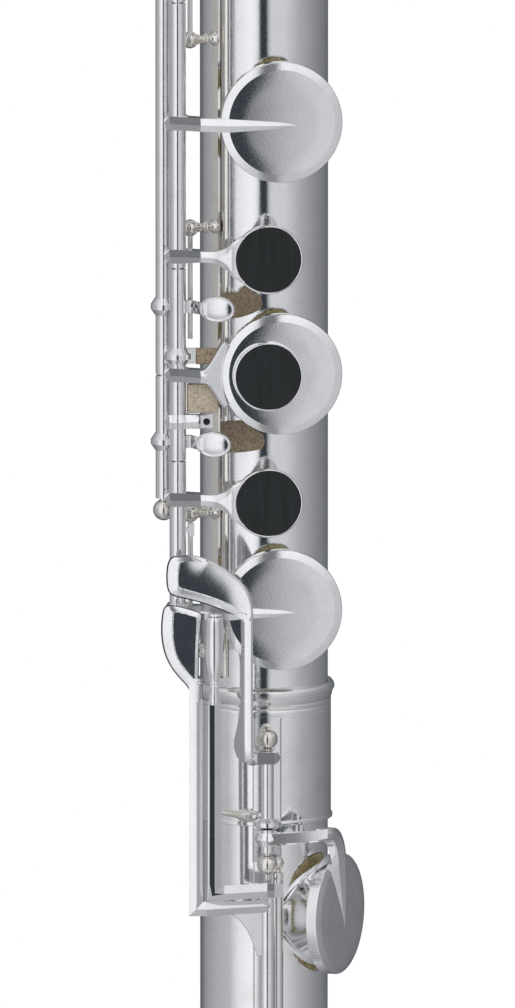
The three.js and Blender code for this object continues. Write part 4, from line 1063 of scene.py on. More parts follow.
def make_row():
    plates = {
        "d": between("d", "e", 0.465), "e": HOLES["e"], "f": between("e", "f", 0.465),
        "g": (HOLES["g_low"] + HOLES["g_high"]) / 2, "a": HOLES["a"], "c": between("b_flat", "c", 0.36),
    }
    spans = {
        "key_d": (clear(STATIONS["low_post"]), STATIONS["d_top"]),
        "key_e": (STATIONS["d_top"] + GAP, STATIONS["e_top"]),
        "key_f": (STATIONS["e_top"] + GAP, STATIONS["f_top"]),
        "key_f_sharp": (STATIONS["f_top"] + GAP, STATIONS["mid_post"] - BALL - GAP),
        "key_g": (clear(STATIONS["mid_post"]), STATIONS["g_top"]),
        "key_a": (STATIONS["g_top"] + GAP, STATIONS["a_top"]),
        "key_b_flat": (STATIONS["a_top"] + GAP, STATIONS["b_flat_top"]),
        "key_c": (clear(STATIONS["high_post"]), STATIONS["c_top"]),
    }
    keys = {
        "key_d": joined(row_cup("d"), plate(plates["d"]), spring_hook(STATIONS["low_post"] + 30.2)),
        "key_f": joined(row_cup("f"), plate(plates["f"])),
        "key_f_sharp": row_cup("f_sharp"),
        "key_g": joined(row_cup("g_low"), row_cup("g_high"), plate(plates["g"])),
        "key_b_flat": row_cup("b_flat"),
        "key_c": joined(row_cup("c"), plate(plates["c"])),
    }
    for name, height in (("key_e", HOLES["e"]), ("key_a", HOLES["a"])):
        turned = plate_ring(height, CEILING + 0.5) + roof_ring(ROW_ROD, height, half=1.6)
        keys[name] = both(turned, fork_arm(ROW_ROD, height), cup(height, lean=LEAN))

    brown, pale = HOLES["e"] + 4.4, HOLES["e"] - 5.9
    near, far, under = ROW_X + 2.2, -CUP - 0.8, ROW_OUT - 0.6
    tabs = tab(brown, 1.9, near, far, under) + tab(pale, 3.6, near, far, under)
    lug = HOLES["e"] - 11.4
    keys["key_e"] = joined(keys["key_e"], both(tall_ring(ROW_ROD, brown), tabs), screw_lug(lug))
    screw = lathe([(radius, LUG_TOP - down) for radius, down in SCREW], BALL_SIDES)
    add("screw_blued", in_row(facing(screw, lug, LUG_END - 1.5)), BLUED, "key_e")
    for name, parts in keys.items():
        add_key(name, joined(parts, both(hinge_tube(ROW_ROD, *spans[name]), Shape())), in_row)
    # The inlays carry a painted reflection: near-black colour in place of the dark strip that the plate faces
    # would reflect
    for key, height in plates.items():
        add(f"inlay_{key}_gloss", in_row(inlay_shape(height)), PAINTED_REFLECTION, "key_" + key, "inlay_" + key)
    for name, height, half, start, look in (
        ("cork_brown", brown, 1.95, ROW_X + 4.4, CORK), ("cork_pale", pale, 3.5, ROW_X + 2.3, PALE_CORK),
    ):
        sheet = in_row(tab(height, half, start, far + 0.3, under + 0.8))
        add(name + "_sheet", sheet, look, "key_e", name, bevel=0.2)
    for key in ROW_HOLES:
        body = "key_g" if "g_" in key else "key_" + key
        add_pad("pad_" + key, HOLES[key], ROW, ROW_ROD, -OPEN, body, row_share(key))


# Thumb, side and trill keys


def pinned(place, low, high, angle):
    """A short rib with two posts and the pins that a key turns on."""
    shape = strap(RIB_IN - 0.25, RIB_OUT, angle, 9, low - BALL, high + BALL)
    shape = shape + post(place, low, angle, POST_SEAT) + post(place, high, angle, POST_SEAT)
    return shape + rod(place, STEEL, low, low + PIN) + rod(place, STEEL, high - PIN, high)


def make_thumb():
    low, high = HOLES["thumb"] - CUP * 2, HOLES["thumb"] + CUP * 2
    add("thumb_rib_turned", pinned(THUMB_ROD, low, high, THUMB + 60), WARM, "body", "thumb_rib")
    place = seen_from(THUMB, THUMB_ROD)
    touch = HOLES["thumb"] - CUP * 1.35
    button = facing(lathe([
        (0, PLATE_UNDER), (PLATE - 0.5, PLATE_UNDER), (PLATE, PLATE_UNDER + 0.6), (PLATE, PLATE_FACE - 0.5),
        (PLATE - 0.4, PLATE_FACE), (PLATE - 1.2, PLATE_FACE), (PLATE - 2.2, PLATE_FACE - 0.35),
        (0, PLATE_FACE - 0.6),
    ]), touch)
    reach = arm([
        (place[0], 1.75, -place[1] - 1, -place[1] + 2.3, 0.7),
        (place[0] * 0.6, 1.7, PLATE_UNDER - 2, PLATE_UNDER + 0.4, 0.6),
        (4, 1.7, PLATE_UNDER, PLATE_FACE - 0.7, 0.3),
    ], touch, steps=4)
    turned = hinge_tube(place, clear(low), high - BALL - GAP) + button + roof_ring(place, touch)
    parts = joined(plain_cup(HOLES["thumb"], place), both(turned, reach))
    add_key("thumb_key", parts, lambda shape: hang(shape, THUMB, place, OPEN))
    add_pad("pad_thumb", HOLES["thumb"], THUMB, place, OPEN, "thumb_key")


def make_side():
    low, high = between("f_sharp", "g_low", 0.35), between("f_sharp", "g_low", 0.69)
    add("side_rib_turned", pinned(SIDE_ROD, low, high, SIDE - ROD_SWING), WARM, "body", "side_rib")
    place = seen_from(SIDE, SIDE_ROD)
    x, out = place[0], -place[1]
    bottom, top = clear(low), high - BALL - GAP
    middle = (bottom + top) / 2
    rise = HOLES["g_low"] - middle
    crest = FACE + 1.1
    slanted = arm([
        (x, 1.75, out - 1, out + 2.3, 0.8, 0),
        (-CUP - 0.65, 1.75, CEILING - 0.8, crest, 0.8, rise * 0.78),
        (-CUP + 1.1, 1.7, CEILING + 0.4, crest, 0.7, rise * 0.78),
        (3.7, 0.2, CEILING + 0.4, FACE + 0.32, 0.1, rise),
    ], middle)
    touch = arm([
        (x, 1.75, out - 1, out + 2.2, 0.6), (x - 4, 1.75, out, out + 2, 0.4), (x - 6, 4, out, out + 1.8, 0.2),
        (x - 12, 3.6, out, out + 1.8, 0.25), (x - 15, 2, out, out + 1.8, 0.1),
    ], middle, steps=4)
    turned = hinge_tube(place, bottom, top) + roof_ring(place, middle)
    parts = both(turned, slanted + touch, cup(HOLES["g_low"]))
    add_key("side_key", parts, lambda shape: hang(shape, SIDE, place, 0))
    add_pad("pad_side", HOLES["g_low"], SIDE, place, 0, "side_key")


TRILL_LIFT = 23.8
TRILL_LEAN = -18
# An oval touch's rim, its groove and its soft dome, as shares of its half width, and heights
OVAL = [
    (0, 0), (0.8, 0), (0.93, 0.3), (0.99, 0.7), (1.0, 1.0), (0.985, 1.3), (0.945, 1.5), (0.9, 1.54),
    (0.86, 1.46),
    (0.84, 1.3), (0.83, 1.16), (0.78, 1.24), (0.65, 1.41), (0.5, 1.57), (0.35, 1.68), (0.2, 1.74), (0, 1.76),
]
OVAL_HALF = (4.5, 3.15)


def trill_touch(height, centre):
    """An oval touch on an arm that passes under the main rod."""
    out = -TRILL_ROD[1]
    top = -MAIN_ROD[1] - HINGE - GAP
    under = TRILL_LIFT - 1.6
    shape = arm([
        (TRILL_ROD[0], 1.5, out - 1, out + 1, 0.3), (MAIN_ROD[0] + 3.2, 1.5, top - 2, top - 0.3, 0.3),
        (centre - 3.6, 1.5, under, under + 0.7, 0.2), (centre, 1.5, under, under + 1.1, 0.2),
    ], height)
    oval = lathe(OVAL).scaled(*OVAL_HALF, 1).at(0, 0, under)
    lean = Matrix.Translation((centre, -under, 0)) @ Matrix.Rotation(math.radians(TRILL_LEAN), 4, "Z")
    oval = facing(oval, height, centre).put(lean @ Matrix.Translation((-centre, under, 0)))
    return both(oval, shape)


def make_trills():
    place = seen_from(TRILL, TRILL_ROD)
    low, high = clear(TRILL_LOW_END), TRILL_HIGH_END - BALL - GAP
    upper, lower = between("e", "f", 0.261), between("d", "e", 0.706)
    thin = HINGE - 0.05
    tubes = {
        "lower": rod(TRILL_ROD, STEEL, TRILL_LOW_END - 1.6, TRILL_HIGH_END + 1.6)
        + tall_ring(TRILL_ROD, lower, 3.1)
        + rod(TRILL_ROD, thin, low, TRILL_MEET) + rod(TRILL_ROD, HINGE, TRILL_PART + GAP, high),
        "upper": hinge_tube(TRILL_ROD, TRILL_MEET + GAP, TRILL_PART, thin) + tall_ring(TRILL_ROD, upper, 3.1),
    }
    for which, height, centre in (("lower", lower, -11.9), ("upper", upper, -11.0)):
        end = [shape.turned(TRILL) for shape in plain_cup(HOLES["trill_" + which], place, SMALL)]
        parts = joined(both(tubes[which], Shape()), trill_touch(height, centre), end)
        add_key("trill_key_" + which, parts, body="trill_" + which)
    for which in ("lower", "upper"):
        add_pad("pad_trill_" + which, HOLES["trill_" + which], TRILL, place, 0, "trill_" + which, SMALL)


# The outlines of the corks under the trill touches, in the picture's pixels
BUMPER_PIXELS = {
    "high": [
        (216, 296), (236, 295.5), (244, 286.5), (252, 291), (260, 297), (262.5, 303), (261, 309), (252, 314),
        (238, 319), (216, 321),
    ],
    "low": [
        (218, 424), (240, 421.5), (252, 428), (263, 434.5), (265, 442), (262, 449), (248, 452), (233, 454),
        (218, 454),
    ],
}


def make_bumpers():
    """Thin corks laid on the tube under the trill touches, which stop the touches softly."""
    for which, pixels in BUMPER_PIXELS.items():
        cork = patch(from_picture(pixels, 16.2), TUBE + 0.03, TUBE + 0.8)
        add("trill_bumper_" + which, cork, CORK, "body", sharp=50)


# Foot keys

FOOT_NEEDLE = [(0, 0), (0.6, 0), (0.75, 0.35), (1.2, 0.55), (1.5, 0.75), (1.1, 1), (0, 1)]


def make_foot_rib():
    socket_rib = SOCKET_OUT + GAP
    foot = RIB_IN + 0.35
    step = SOCKET_LOW - GAP
    strip = total(strap(inner, outer, FOOT_RIB_ANGLE, 24, low, high, 16, 0.3) for inner, outer, low, high in (
        (RIB_IN - 0.25, RIB_IN + 0.5, C_POST - BALL, step), (RIB_IN, socket_rib + 0.5, LOW_POST, step),
        (SOCKET_OUT - 0.2, socket_rib + 0.5, LOW_POST, E_FLAT_POST + BALL * 1.7),
    ))
    add("foot_rib_strip", strip, TUBE_SILVER, "foot")
    shape = post(FOOT_ROD, E_FLAT_POST, FOOT_RIB_ANGLE, socket_rib + 0.35, 2.6)
    shape = shape + post(FOOT_ROD, LOW_POST, FOOT_RIB_ANGLE, foot, 2.5) + ball((*LOW_ROD, LOW_POST), 1.75)
    shape = shape + post(FOOT_ROD, C_SHARP_POST, -3.5, foot, 2.0, 0.8)
    shape = shape + post(LOW_ROD, C_POST, LOW_ANGLE, foot, 2.0, 0.8)
    shape = shape + rod(LOW_ROD, STEEL, LOW_POST - PIN, LOW_POST) + rod(LOW_ROD, STEEL, C_POST, C_POST + PIN)
    needle = LOW_POST + 11.5
    ends = (*polar(-36, TUBE + 1.4), needle), (*polar(-5, TUBE + 2.6), needle - 0.4)
    shape = shape + between_points(FOOT_NEEDLE, *ends, BALL_SIDES)
    add("foot_rib_turned", shape, WARM, "foot", "foot_rib")
    end = BALL - GAP
    steel = rod(FOOT_ROD, STEEL, C_SHARP_POST - end, E_FLAT_POST + end)
    add("foot_steel_drawn", steel, DRAWN, "foot", "foot_steel")


# A touch's ridge: twice the distance from its edge over its width, and the height there
TOUCH_RIDGE = [
    (0.0, -0.85), (0.1, -0.65), (0.35, -0.48), (1.0, -0.24), (1.88, 0.0), (1.93, -0.1), (1.98, -0.5),
    (2.1, -1.3),
]
TOUCH_FLOOR = -0.52
TOUCH_CLIMB = 0.74
TOUCH_REACH = 7.5
TOUCH_THICK = 1.2
TOUCH_ROWS = 84


def reading(table, value):
    """What a table of rising places and heights gives at a place."""
    for (a, low), (b, high) in zip(table, table[1:]):
        if value < b:
            return low + (high - low) * max(value - a, 0) / (b - a)
    return table[-1][1]


def touch_rise(away):
    """The height of a touch's dish beside a plain edge: a round edge, then a fall that grows softer."""
    fall = TOUCH_CLIMB * max(1 - away / TOUCH_REACH, 0) ** 2
    return TOUCH_FLOOR + fall - 0.5 * max(1 - away / 0.5, 0) ** 2


def touch_piece(pixels, centre):
    """A little finger's touch, from the picture. Each corner adds its raised ridge's width, or nothing.

    The surface is a shallow dish inside the ridge. Where there is no ridge it rises softly to the edge.
    """
    places = from_picture([(x, y) for x, y, _ in pixels], LIFT)
    edge = softened([(*place, width) for place, (_, _, width) in zip(places, pixels)])
    spans = list(zip(edge, edge[1:] + edge[:1]))
    middle = from_picture([centre], LIFT)[0]

    def height(x, z):
        ridge, plain = (9.0, 1.0), 99.0
        for (x0, z0, w0), (x1, z1, w1) in spans:
            dx, dz = x1 - x0, z1 - z0
            share = min(max(((x - x0) * dx + (z - z0) * dz) / (dx * dx + dz * dz), 0), 1)
            away = math.hypot(x - x0 - dx * share, z - z0 - dz * share)
            width = w0 + (w1 - w0) * share
            if width > 0.3 and away / width < ridge[0] / ridge[1]:
                ridge = (away, width)
            if width <= 0.8:
                plain = min(plain, away)
        sunk = 0.3 * max(1 - ridge[1] / 1.4, 0)
        return max(reading(TOUCH_RIDGE, 2 * ridge[0] / ridge[1]) - sunk, touch_rise(plain))

    rows = [[Vector((x, TOUCH_THICK - LIFT, z)) for x, z, _ in edge]]
    for k in range(TOUCH_ROWS):
        inward = (k / TOUCH_ROWS) ** 1.25
        row = []
        for x, z, _ in edge:
            x, z = x + (middle[0] - x) * inward, z + (middle[1] - z) * inward
            row.append(Vector((x, -(LIFT + height(x, z)), z)))
        rows.append(row)
    return grid(rows)


# Outlines in the picture's pixels. A touch's corners add the ridge's width in millimetres
E_FLAT_TOUCH_PIXELS = [
    (167.5, 563, 3.0), (172, 556.6, 2.2), (181, 555.6, 1.7), (192, 555.8, 1.4), (203, 558, 1.0),
    (214, 562.6, 0.6),
    (225, 569.4, 0), (235.5, 577, 0), (243.5, 585, 0), (249, 594.5, 0), (252.4, 604, 0), (253.2, 613, 0),
    (252, 621, 0.8), (244, 620.5, 1.6), (232, 614.6, 2.1), (211, 606, 2.2), (190, 600, 2.2),
    (172, 596.5, 2.4),
    (167, 590, 2.8), (166, 575, 3.0),
]
E_FLAT_TOUCH_CENTRE = (209, 586)
E_FLAT_FLARE_PIXELS = [
    (241.2, 622), (240.8, 700), (239.6, 714), (237, 729), (234, 744), (234, 752), (236.5, 759), (241, 763.5),
    (245, 763), (244.4, 750), (244.4, 622),
]
C_SHARP_TOUCH_PIXELS = [
    (162, 613, 2.8), (165, 605.8, 2.0), (173, 605, 1.6), (186, 608, 1.6), (202, 613, 1.4), (201.6, 620, 1.1),
    (200, 634, 0.95), (199, 652, 0.95), (199, 672, 0.95), (198.6, 684, 0.95), (197.5, 697, 1.5),
    (190.5, 697, 2.0),
    (188.8, 688, 2.3), (178, 677, 2.5), (169, 665, 2.6), (163, 650, 2.8), (160.6, 632, 3.0),
]
C_SHARP_TOUCH_CENTRE = (186, 640)


def make_e_flat():
    place = seen_from(E_FLAT, FOOT_ROD)
    top, bottom = E_FLAT_POST - BALL - GAP, LOW_POST + BALL + GAP
    cross = E_FLAT_POST - BALL - GAP - 1.5
    first = LOW_POST + 6.3
    rod_x, out = FOOT_ROD[0], -FOOT_ROD[1]
    shaft = rod_x - 4.6
    # The arm leaves the rod as a straight bar, then turns down over the cup's rim and ends in a point
    tail = (EDGE, -0.9)
    straight = arm([
        (rod_x - 3.0, 0.15, out - 0.5, out + 0.6, 0.1),
        (rod_x - 2.0, 1.2, out - 0.5, out + 2.0, 0.5, 0, EDGE, -0.6),
        (rod_x, 1.45, out - 0.5, out + 3.0, ROOF, 0, *tail), (8.0, 1.4, out + 0.4, 24.1, ROOF, 0.5, *tail),
        (12.5, 1.4, out + 1.0, 24.2, ROOF, 1.0, *tail), (15.4, 1.4, out + 1.0, 24.25, ROOF, 1.5, *tail),
    ], first)
    under = CEILING + 0.7
    low = under - 0.3
    bend = ribbon([
        (-15.3, first + 1.5, 1.15, under, 23.1, 0.6, 0.1), (-12.6, first + 1.3, 1.45, under, 24.0, 0.6, 0.1),
        (-9.4, first + 0.3, 1.75, under, 24.1, 0.7, 0.1), (-6.4, first - 2.0, 2.1, under, 23.8, 0.8, 0.1),
        (-4.2, first - 5.3, 2.3, under, 23.4, 0.8, 0.1), (-2.8, first - 9.2, 2.1, low, 22.9, 0.7, 0.05),
        (-1.3, first - 15.0, 1.4, low, 22.3, 0.5, EDGE),
        (-0.2, first - 20.0, 0.7, low, FACE + 0.7, 0.3, EDGE),
        (0.5, first - 24.0, 0.1, low, FACE + 0.3, 0.1, EDGE),
    ], steps=4).turned(E_FLAT)
    # The lever comes down from the touch, flares on its left and hooks round into a crosspiece over the rod
    level = LIFT - 0.1
    tail = (0.42, EDGE, 0.65)
    lever = ribbon([
        (shaft, HOLES["d"] + 2.0, 1.15, LIFT - 2.2, level, *tail),
        (shaft, HOLES["d"] - 6, 1.15, LIFT - 2.2, level, *tail),
        (shaft, cross + 9, 1.15, LIFT - 2.4, level, *tail),
        (shaft, cross + 4.6, 1.15, LIFT - 2.8, level - 0.1, *tail),
        (shaft + 0.1, cross + 1.7, 1.25, LIFT - 3.2, level - 0.4, 0.45, EDGE, 0.6),
        (shaft + 0.8, cross + 0.2, 1.35, LIFT - 3.8, level - 1.2, 0.5, EDGE, 0.4),
        (shaft + 2.2, cross, 1.3, out + 1.2, out + 4.4, 0.6, EDGE, 0.0),
    ], 4)
    tail = (0.95, 0, EDGE, -1.15)
    crosspiece = arm([
        (shaft + 0.9, 1.5, out + 0.5, out + 4.3, *tail), (rod_x - 1.2, 1.5, out - 0.5, out + 4.22, *tail),
        (rod_x + 1.9, 1.5, out - 1, out + 4.15, *tail),
        (rod_x + 2.6, 1.1, out - 1, out + 2.8, 0.7, 0, EDGE, -0.8),
        (rod_x + 3.3, 0.15, out - 1, out + 0.6, 0.1),
    ], cross)
    flare = block(from_picture(E_FLAT_FLARE_PIXELS, LIFT), LIFT + 8.8, LIFT + 10.3, 0, -2.2)
    turned = hinge_tube(FOOT_ROD, bottom, top, 1.6) + tall_ring(FOOT_ROD, bottom + 7.2, 3.3, 0.5, 1.4)
    turned = turned + roof_ring(FOOT_ROD, first, 3.2, 2.4, 1.7)
    turned = turned + touch_piece(E_FLAT_TOUCH_PIXELS, E_FLAT_TOUCH_CENTRE)
    filed = straight + bend + lever + crosspiece + flare
    add_key("key_e_flat", both(turned, filed, cup(FOOT_HOLES["e_flat"]).turned(E_FLAT)))
    add_pad("pad_e_flat", FOOT_HOLES["e_flat"], E_FLAT, place, 0, "key_e_flat")


def add_low_key(key, place, turned, filed):
    """A key whose cup hangs over a hole at the foot's left."""
    inside = seen_from(LOW, place)
    end = [hang(shape, LOW, inside, OPEN) for shape in plain_cup(FOOT_HOLES[key], inside)]
    add_key("key_" + key, joined(both(turned, filed), end))
    add_pad("pad_" + key, FOOT_HOLES[key], LOW, inside, OPEN, "key_" + key)


def make_c_sharp():
    rod_x, out = FOOT_ROD[0], -FOOT_ROD[1]
    top = LOW_POST - 7.9
    bottom = clear(C_SHARP_POST) - BALL + 2.0
    height = top - 1.8
    shaft = -16.45
    touch_low = HOLES["d"] - 18.1
    # Down from the touch, round a mitre and across to the rod
    down = (1.65, LIFT - 2.3, LIFT, 0.42, EDGE, 0.2, 1.1)
    lever = ribbon([
        (shaft, touch_low + 2.4, *down), (shaft, height + 2.6, *down),
        (shaft, height, 2.45, LIFT - 2.4, LIFT, 0.9, EDGE, 0.1, 1.2),
        (shaft + 2.6, height, 1.8, LIFT - 2.5, LIFT - 0.1, 1.25, EDGE, 0.0, 1.3),
        (rod_x - 4, height, 1.8, out + 1.8, out + 4.2, 1.25, EDGE, 0.0, 1.3),
        (rod_x, height, 1.8, out, out + 2.6, 1.0, EDGE, 0.0, 1.0),
        (rod_x + 1.9, height, 0.9, out - 0.5, out + 0.5, 0.1),
    ])
    gusset = block([
        (-9.0, height - 1.4), (-7.2, height - 2.5), (-5.5, height - 4.1), (-4.1, height - 6.2),
        (-2.9, height - 8.8),
        (-1.7, height - 12.6), (0.2, height - 12.6), (0.2, height - 1.4),
    ], out - 0.4, out + 0.9, 0.2, 0.25)
    turned = hinge_tube(FOOT_ROD, bottom, top, 1.93) + touch_piece(C_SHARP_TOUCH_PIXELS, C_SHARP_TOUCH_CENTRE)
    add_low_key("c_sharp", FOOT_ROD, turned, lever + gusset)


# The turned neck under the roller: its radii, and heights over the fork's lower end
NECK_LOW = [
    (0, -5.0), (1.3, -5.0), (1.45, -4.0), (1.3, -2.6), (1.1, -1.4), (1.05, -0.9), (1.45, -0.7), (1.5, -0.4),
    (1.2, -0.1), (1.3, 0.3), (1.2, 0.6), (0.9, 0.6),
]
NECK_TOP = [(0.9, -0.6), (1.5, -0.6), (1.6, -0.4), (1.4, 0), (0, 0)]
ROLLER = [
    (1.25, 0.0), (1.35, 0.04), (1.75, 0.14), (2.1, 0.28), (2.2, 0.45), (2.17, 0.65), (2.08, 0.82),
    (1.9, 0.95),
    (1.6, 1.0),
]
ROLLER_BORE = 1.1
ROLLER_TOP = HOLES["d"] - 0.6
ROLLER_LOW = ROLLER_TOP - 15.4


def make_low_c():
    out = -LOW_ROD[1]
    bottom, top = C_POST + 2.0 + GAP, LOW_POST - 2.0 - GAP
    height = LOW_POST - 7.9 + 1.8 + GAP
    shaft = -12.0
    fork_top, fork_low = ROLLER_TOP + GAP + 0.6, ROLLER_LOW - GAP - 0.6
    place = (shaft, -(LIFT + GAP))
    over = -FOOT_ROD[1] + 2
    down = (1.55, LIFT - 2.2, LIFT, 0.45, 0.62, -0.52, 1.0)
    lever = ribbon([
        (shaft, fork_low - 4.2, *down), (shaft, height + 2.4, *down),
        (shaft, height, 2.35, LIFT - 2.4, LIFT, 0.8, 0.5, -0.3, 1.2),
        (shaft + 2.4, height, 1.8, LIFT - 2.4, LIFT, 1.2, EDGE, 0.0, 1.3),
        (FOOT_ROD[0], height, 1.8, over + GAP, over + 2.6, 1.0, EDGE, 0.0, 1.1),
        (LOW_ROD[0] - 0.5, height, 1.7, over + GAP, over + 2.4, 0.6, EDGE, 0.0, 0.6),
    ])
    web = arm([
        (LOW_ROD[0] - 0.53, 1.8, out, over + 2.4, 0.3), (LOW_ROD[0] + 1.44, 1.6, out, over + 1.2, 0.2),
    ], height)
    neck = [(radius, fork_low + up) for radius, up in NECK_LOW]
    neck += [(radius, fork_top + up) for radius, up in NECK_TOP]
    turned = hinge_tube(LOW_ROD, bottom, top, 1.6) + round_place(neck, place, HINGE_SIDES)
    add_low_key("c_low", LOW_ROD, turned, lever + web)
    length = ROLLER_TOP - ROLLER_LOW
    profile = [(ROLLER_BORE, ROLLER_LOW)] + [(r, ROLLER_LOW + length * s) for r, s in smooth(ROLLER, 4)]
    profile += [(ROLLER_BORE, ROLLER_TOP), (ROLLER_BORE, ROLLER_LOW)]
    add("roller_barrel", round_place(profile, place, RING_SIDES), SILVER, "roller", "roller")


# Head


def bend_rows(radius):
    base = BEND_BASE + BEND_LIP
    stops = [(math.pi * i / BEND_STEPS, 0.0) for i in range(BEND_STEPS + 1)]
    rows = []
    for turn, lift in [(0.0, -BEND_LIP), *stops, (math.pi, -BEND_LIP)]:
        rise = math.sin(turn) * BEND_RISE
        centre = Vector((-BEND + BEND * math.cos(turn), 0, base + BEND * math.sin(turn) * BEND_RISE + lift))
        side = Vector((math.cos(turn), 0, rise))
        rows.append([
            centre + side * radius * math.cos(angle) + Vector((0, radius * math.sin(angle), 0))
            for angle in turns(SIDES)
        ])
    return rows


SLEEVE_LOW = HEAD_TOP - 24
SLEEVE = [
    (SOCKET_IN, SLEEVE_LOW), (SOCKET_OUT + 0.3, SLEEVE_LOW), (17.05, SLEEVE_LOW + 0.4),
    (17.1, SLEEVE_LOW + 1.2),
    (16.95, SLEEVE_LOW + 1.8), (17.1, SLEEVE_LOW + 2.3), (16.9, SLEEVE_LOW + 3.4),
    (SOCKET_OUT + 0.05, SLEEVE_LOW + 4.4), (SOCKET_OUT, SLEEVE_LOW + 5), (SOCKET_OUT, BEND_BASE + 0.4),
    (SOCKET_OUT - 0.5, BEND_BASE + 1.3), (TUBE - 0.05, BEND_BASE + 1.6), (BORE + 0.02, BEND_BASE + 0.9),
    (BORE + 0.02, BEND_BASE), (SOCKET_IN, BEND_BASE), (SOCKET_IN, SLEEVE_LOW),
]
# The riser's half widths, and how far out it is there, or nothing where it meets the tube
RISER = [
    (7.6, 6.7, None), (7.4, 6.5, 18.2), (7.35, 6.45, 20.2), (7.1, 6.2, 20.45), (6.4, 5.5, 20.45),
    (*MOUTH_HALF, 20.25), (*MOUTH_HALF, None),
]
STOPPER_LOW = 808
STOPPER = [(3.0, 0), (14.3, 0), (14.65, 0.4), (14.65, 11.6), (14.3, 12), (3.0, 12), (3.0, 0)]
# The crown: radii, and heights over its rim. Its screw's end follows in heights of its own
CROWN = [
    (0, -18), (6, -17.9), (9.5, -17.4), (10.8, -16.6), (11.4, -15.6), (12.6, -14.6), (15.2, -13.2),
    (16.2, -12.0),
    (16.4, -10.8), (16.1, -9.9), (15.7, -9.4), (15.7, -4.0), (16.1, -3.5), (16.4, -2.6), (16.3, -1.0),
    (15.9, -0.1),
    (15.2, 0), (14.65, 0), (14.65, 5.8), (14.4, 6), (2.7, 6),
]
SCREW_END = [(2.7, 815.8), (2.5, 816), (0, 816)]


def make_head():
    bend = grid(bend_rows(TUBE) + bend_rows(BORE)[::-1], caps=False, loop=True)
    sleeves = lathe(SLEEVE, TUBE_SIDES) + lathe(SLEEVE, TUBE_SIDES).at(RETURN_X)
    add("head_bend_drawn", bend + sleeves, TUBE_SILVER, "head_bend", "head_bend", sharp=40)
    add("head_tube_drawn", tube_shape(HEAD_LOW, HEAD_TOP), TUBE_SILVER, "head_slide", "head_tube", sharp=40)
    mouth = facing(disc(1, 5, 24).scaled(*MOUTH_HALF, 1), MOUTH, RETURN_X)
    tube = tube_shape(RETURN_LOW, HEAD_TOP).at(RETURN_X)
    drilled("return_tube_drawn", tube, [[mouth]], RETURN_X, "return_arm", "return_tube")
    make_lip_plate()
    rows = []
    for half_x, half_z, level in RISER:
        row = []
        for turn in turns(DRILL_SIDES):
            x, z = half_x * math.cos(turn), half_z * math.sin(turn)
            out = level - x * x / 60 if level else math.sqrt((TUBE + 0.02) ** 2 - x * x)
            row.append(Vector((RETURN_X + x, -out, MOUTH + z)))
        rows.append(row)
    add("riser_wall", grid(rows, caps=False, loop=True), SILVER, "return_arm", "riser", sharp=50)
    cork = lathe([(radius, STOPPER_LOW + up) for radius, up in STOPPER]).at(RETURN_X)
    add("stopper_cork", cork, CORK, "return_arm", "stopper", sharp=50)
    rim = RETURN_LOW - GAP
    crown = lathe([(radius, rim + up) for radius, up in CROWN] + SCREW_END, CROWN_SIDES).at(RETURN_X)
    add("crown_turned", crown, SILVER, "crown", "crown", sharp=50)


PLATE_RINGS = 14
PLATE_TURNS = 144
LIP_HOLE = (7.75, 6.85)
LIP_EDGE = (15.9, 31.0)
LIP_THICK = 0.9
LIP_FALL = 2.6


def make_lip_plate():
    """A saddle round the return tube, flared at its ends, with the mouth hole in its middle."""
    wide = RIB_IN + 0.45
    reach = TUBE + 5
    faces = ([], [])
    for r in range(PLATE_RINGS + 1):
        share = r / PLATE_RINGS
        rows = ([], [])
        for turn in turns(PLATE_TURNS):
            x = (LIP_HOLE[0] + (LIP_EDGE[0] - LIP_HOLE[0]) * share) * math.cos(turn)
            z = (LIP_HOLE[1] + (LIP_EDGE[1] - LIP_HOLE[1]) * share) * math.sin(turn)
            fall = LIP_FALL * min(abs(z) / LIP_EDGE[1], 1) ** 2
            for row, half, front in ((rows[0], wide + LIP_THICK, reach), (rows[1], wide, reach - LIP_THICK)):
                out = front * math.sqrt(max(1 - (x / half) ** 2, 0.0)) if abs(x) < half else 0.0
                row.append(Vector((RETURN_X + x, -max(out - fall, 3.0), MOUTH + z)))
        for face, row in zip(faces, rows):
            face.append(row)
    plate_skin = grid(faces[0] + faces[1][::-1], caps=False, loop=True)
    add("lip_plate_pressed", plate_skin, SILVER, "return_arm", "lip_plate", sharp=60)


make_tubes()
make_sockets()
make_rib_and_rods()
make_row()
make_thumb()
make_side()
make_trills()
make_bumpers()
make_foot_rib()
make_e_flat()
make_c_sharp()
make_low_c()
make_head()

# The room: a pale floor under the flute, soft light from all round, and a dark strip where the camera stands

FLOOR_RADIUS = 0.85
FLOOR_DROP = 0.0002
FLOOR_TONES = (0.9, 0.9, 0.9), (0.93, 0.93, 0.93)
FADE = (0.3, 0.82)


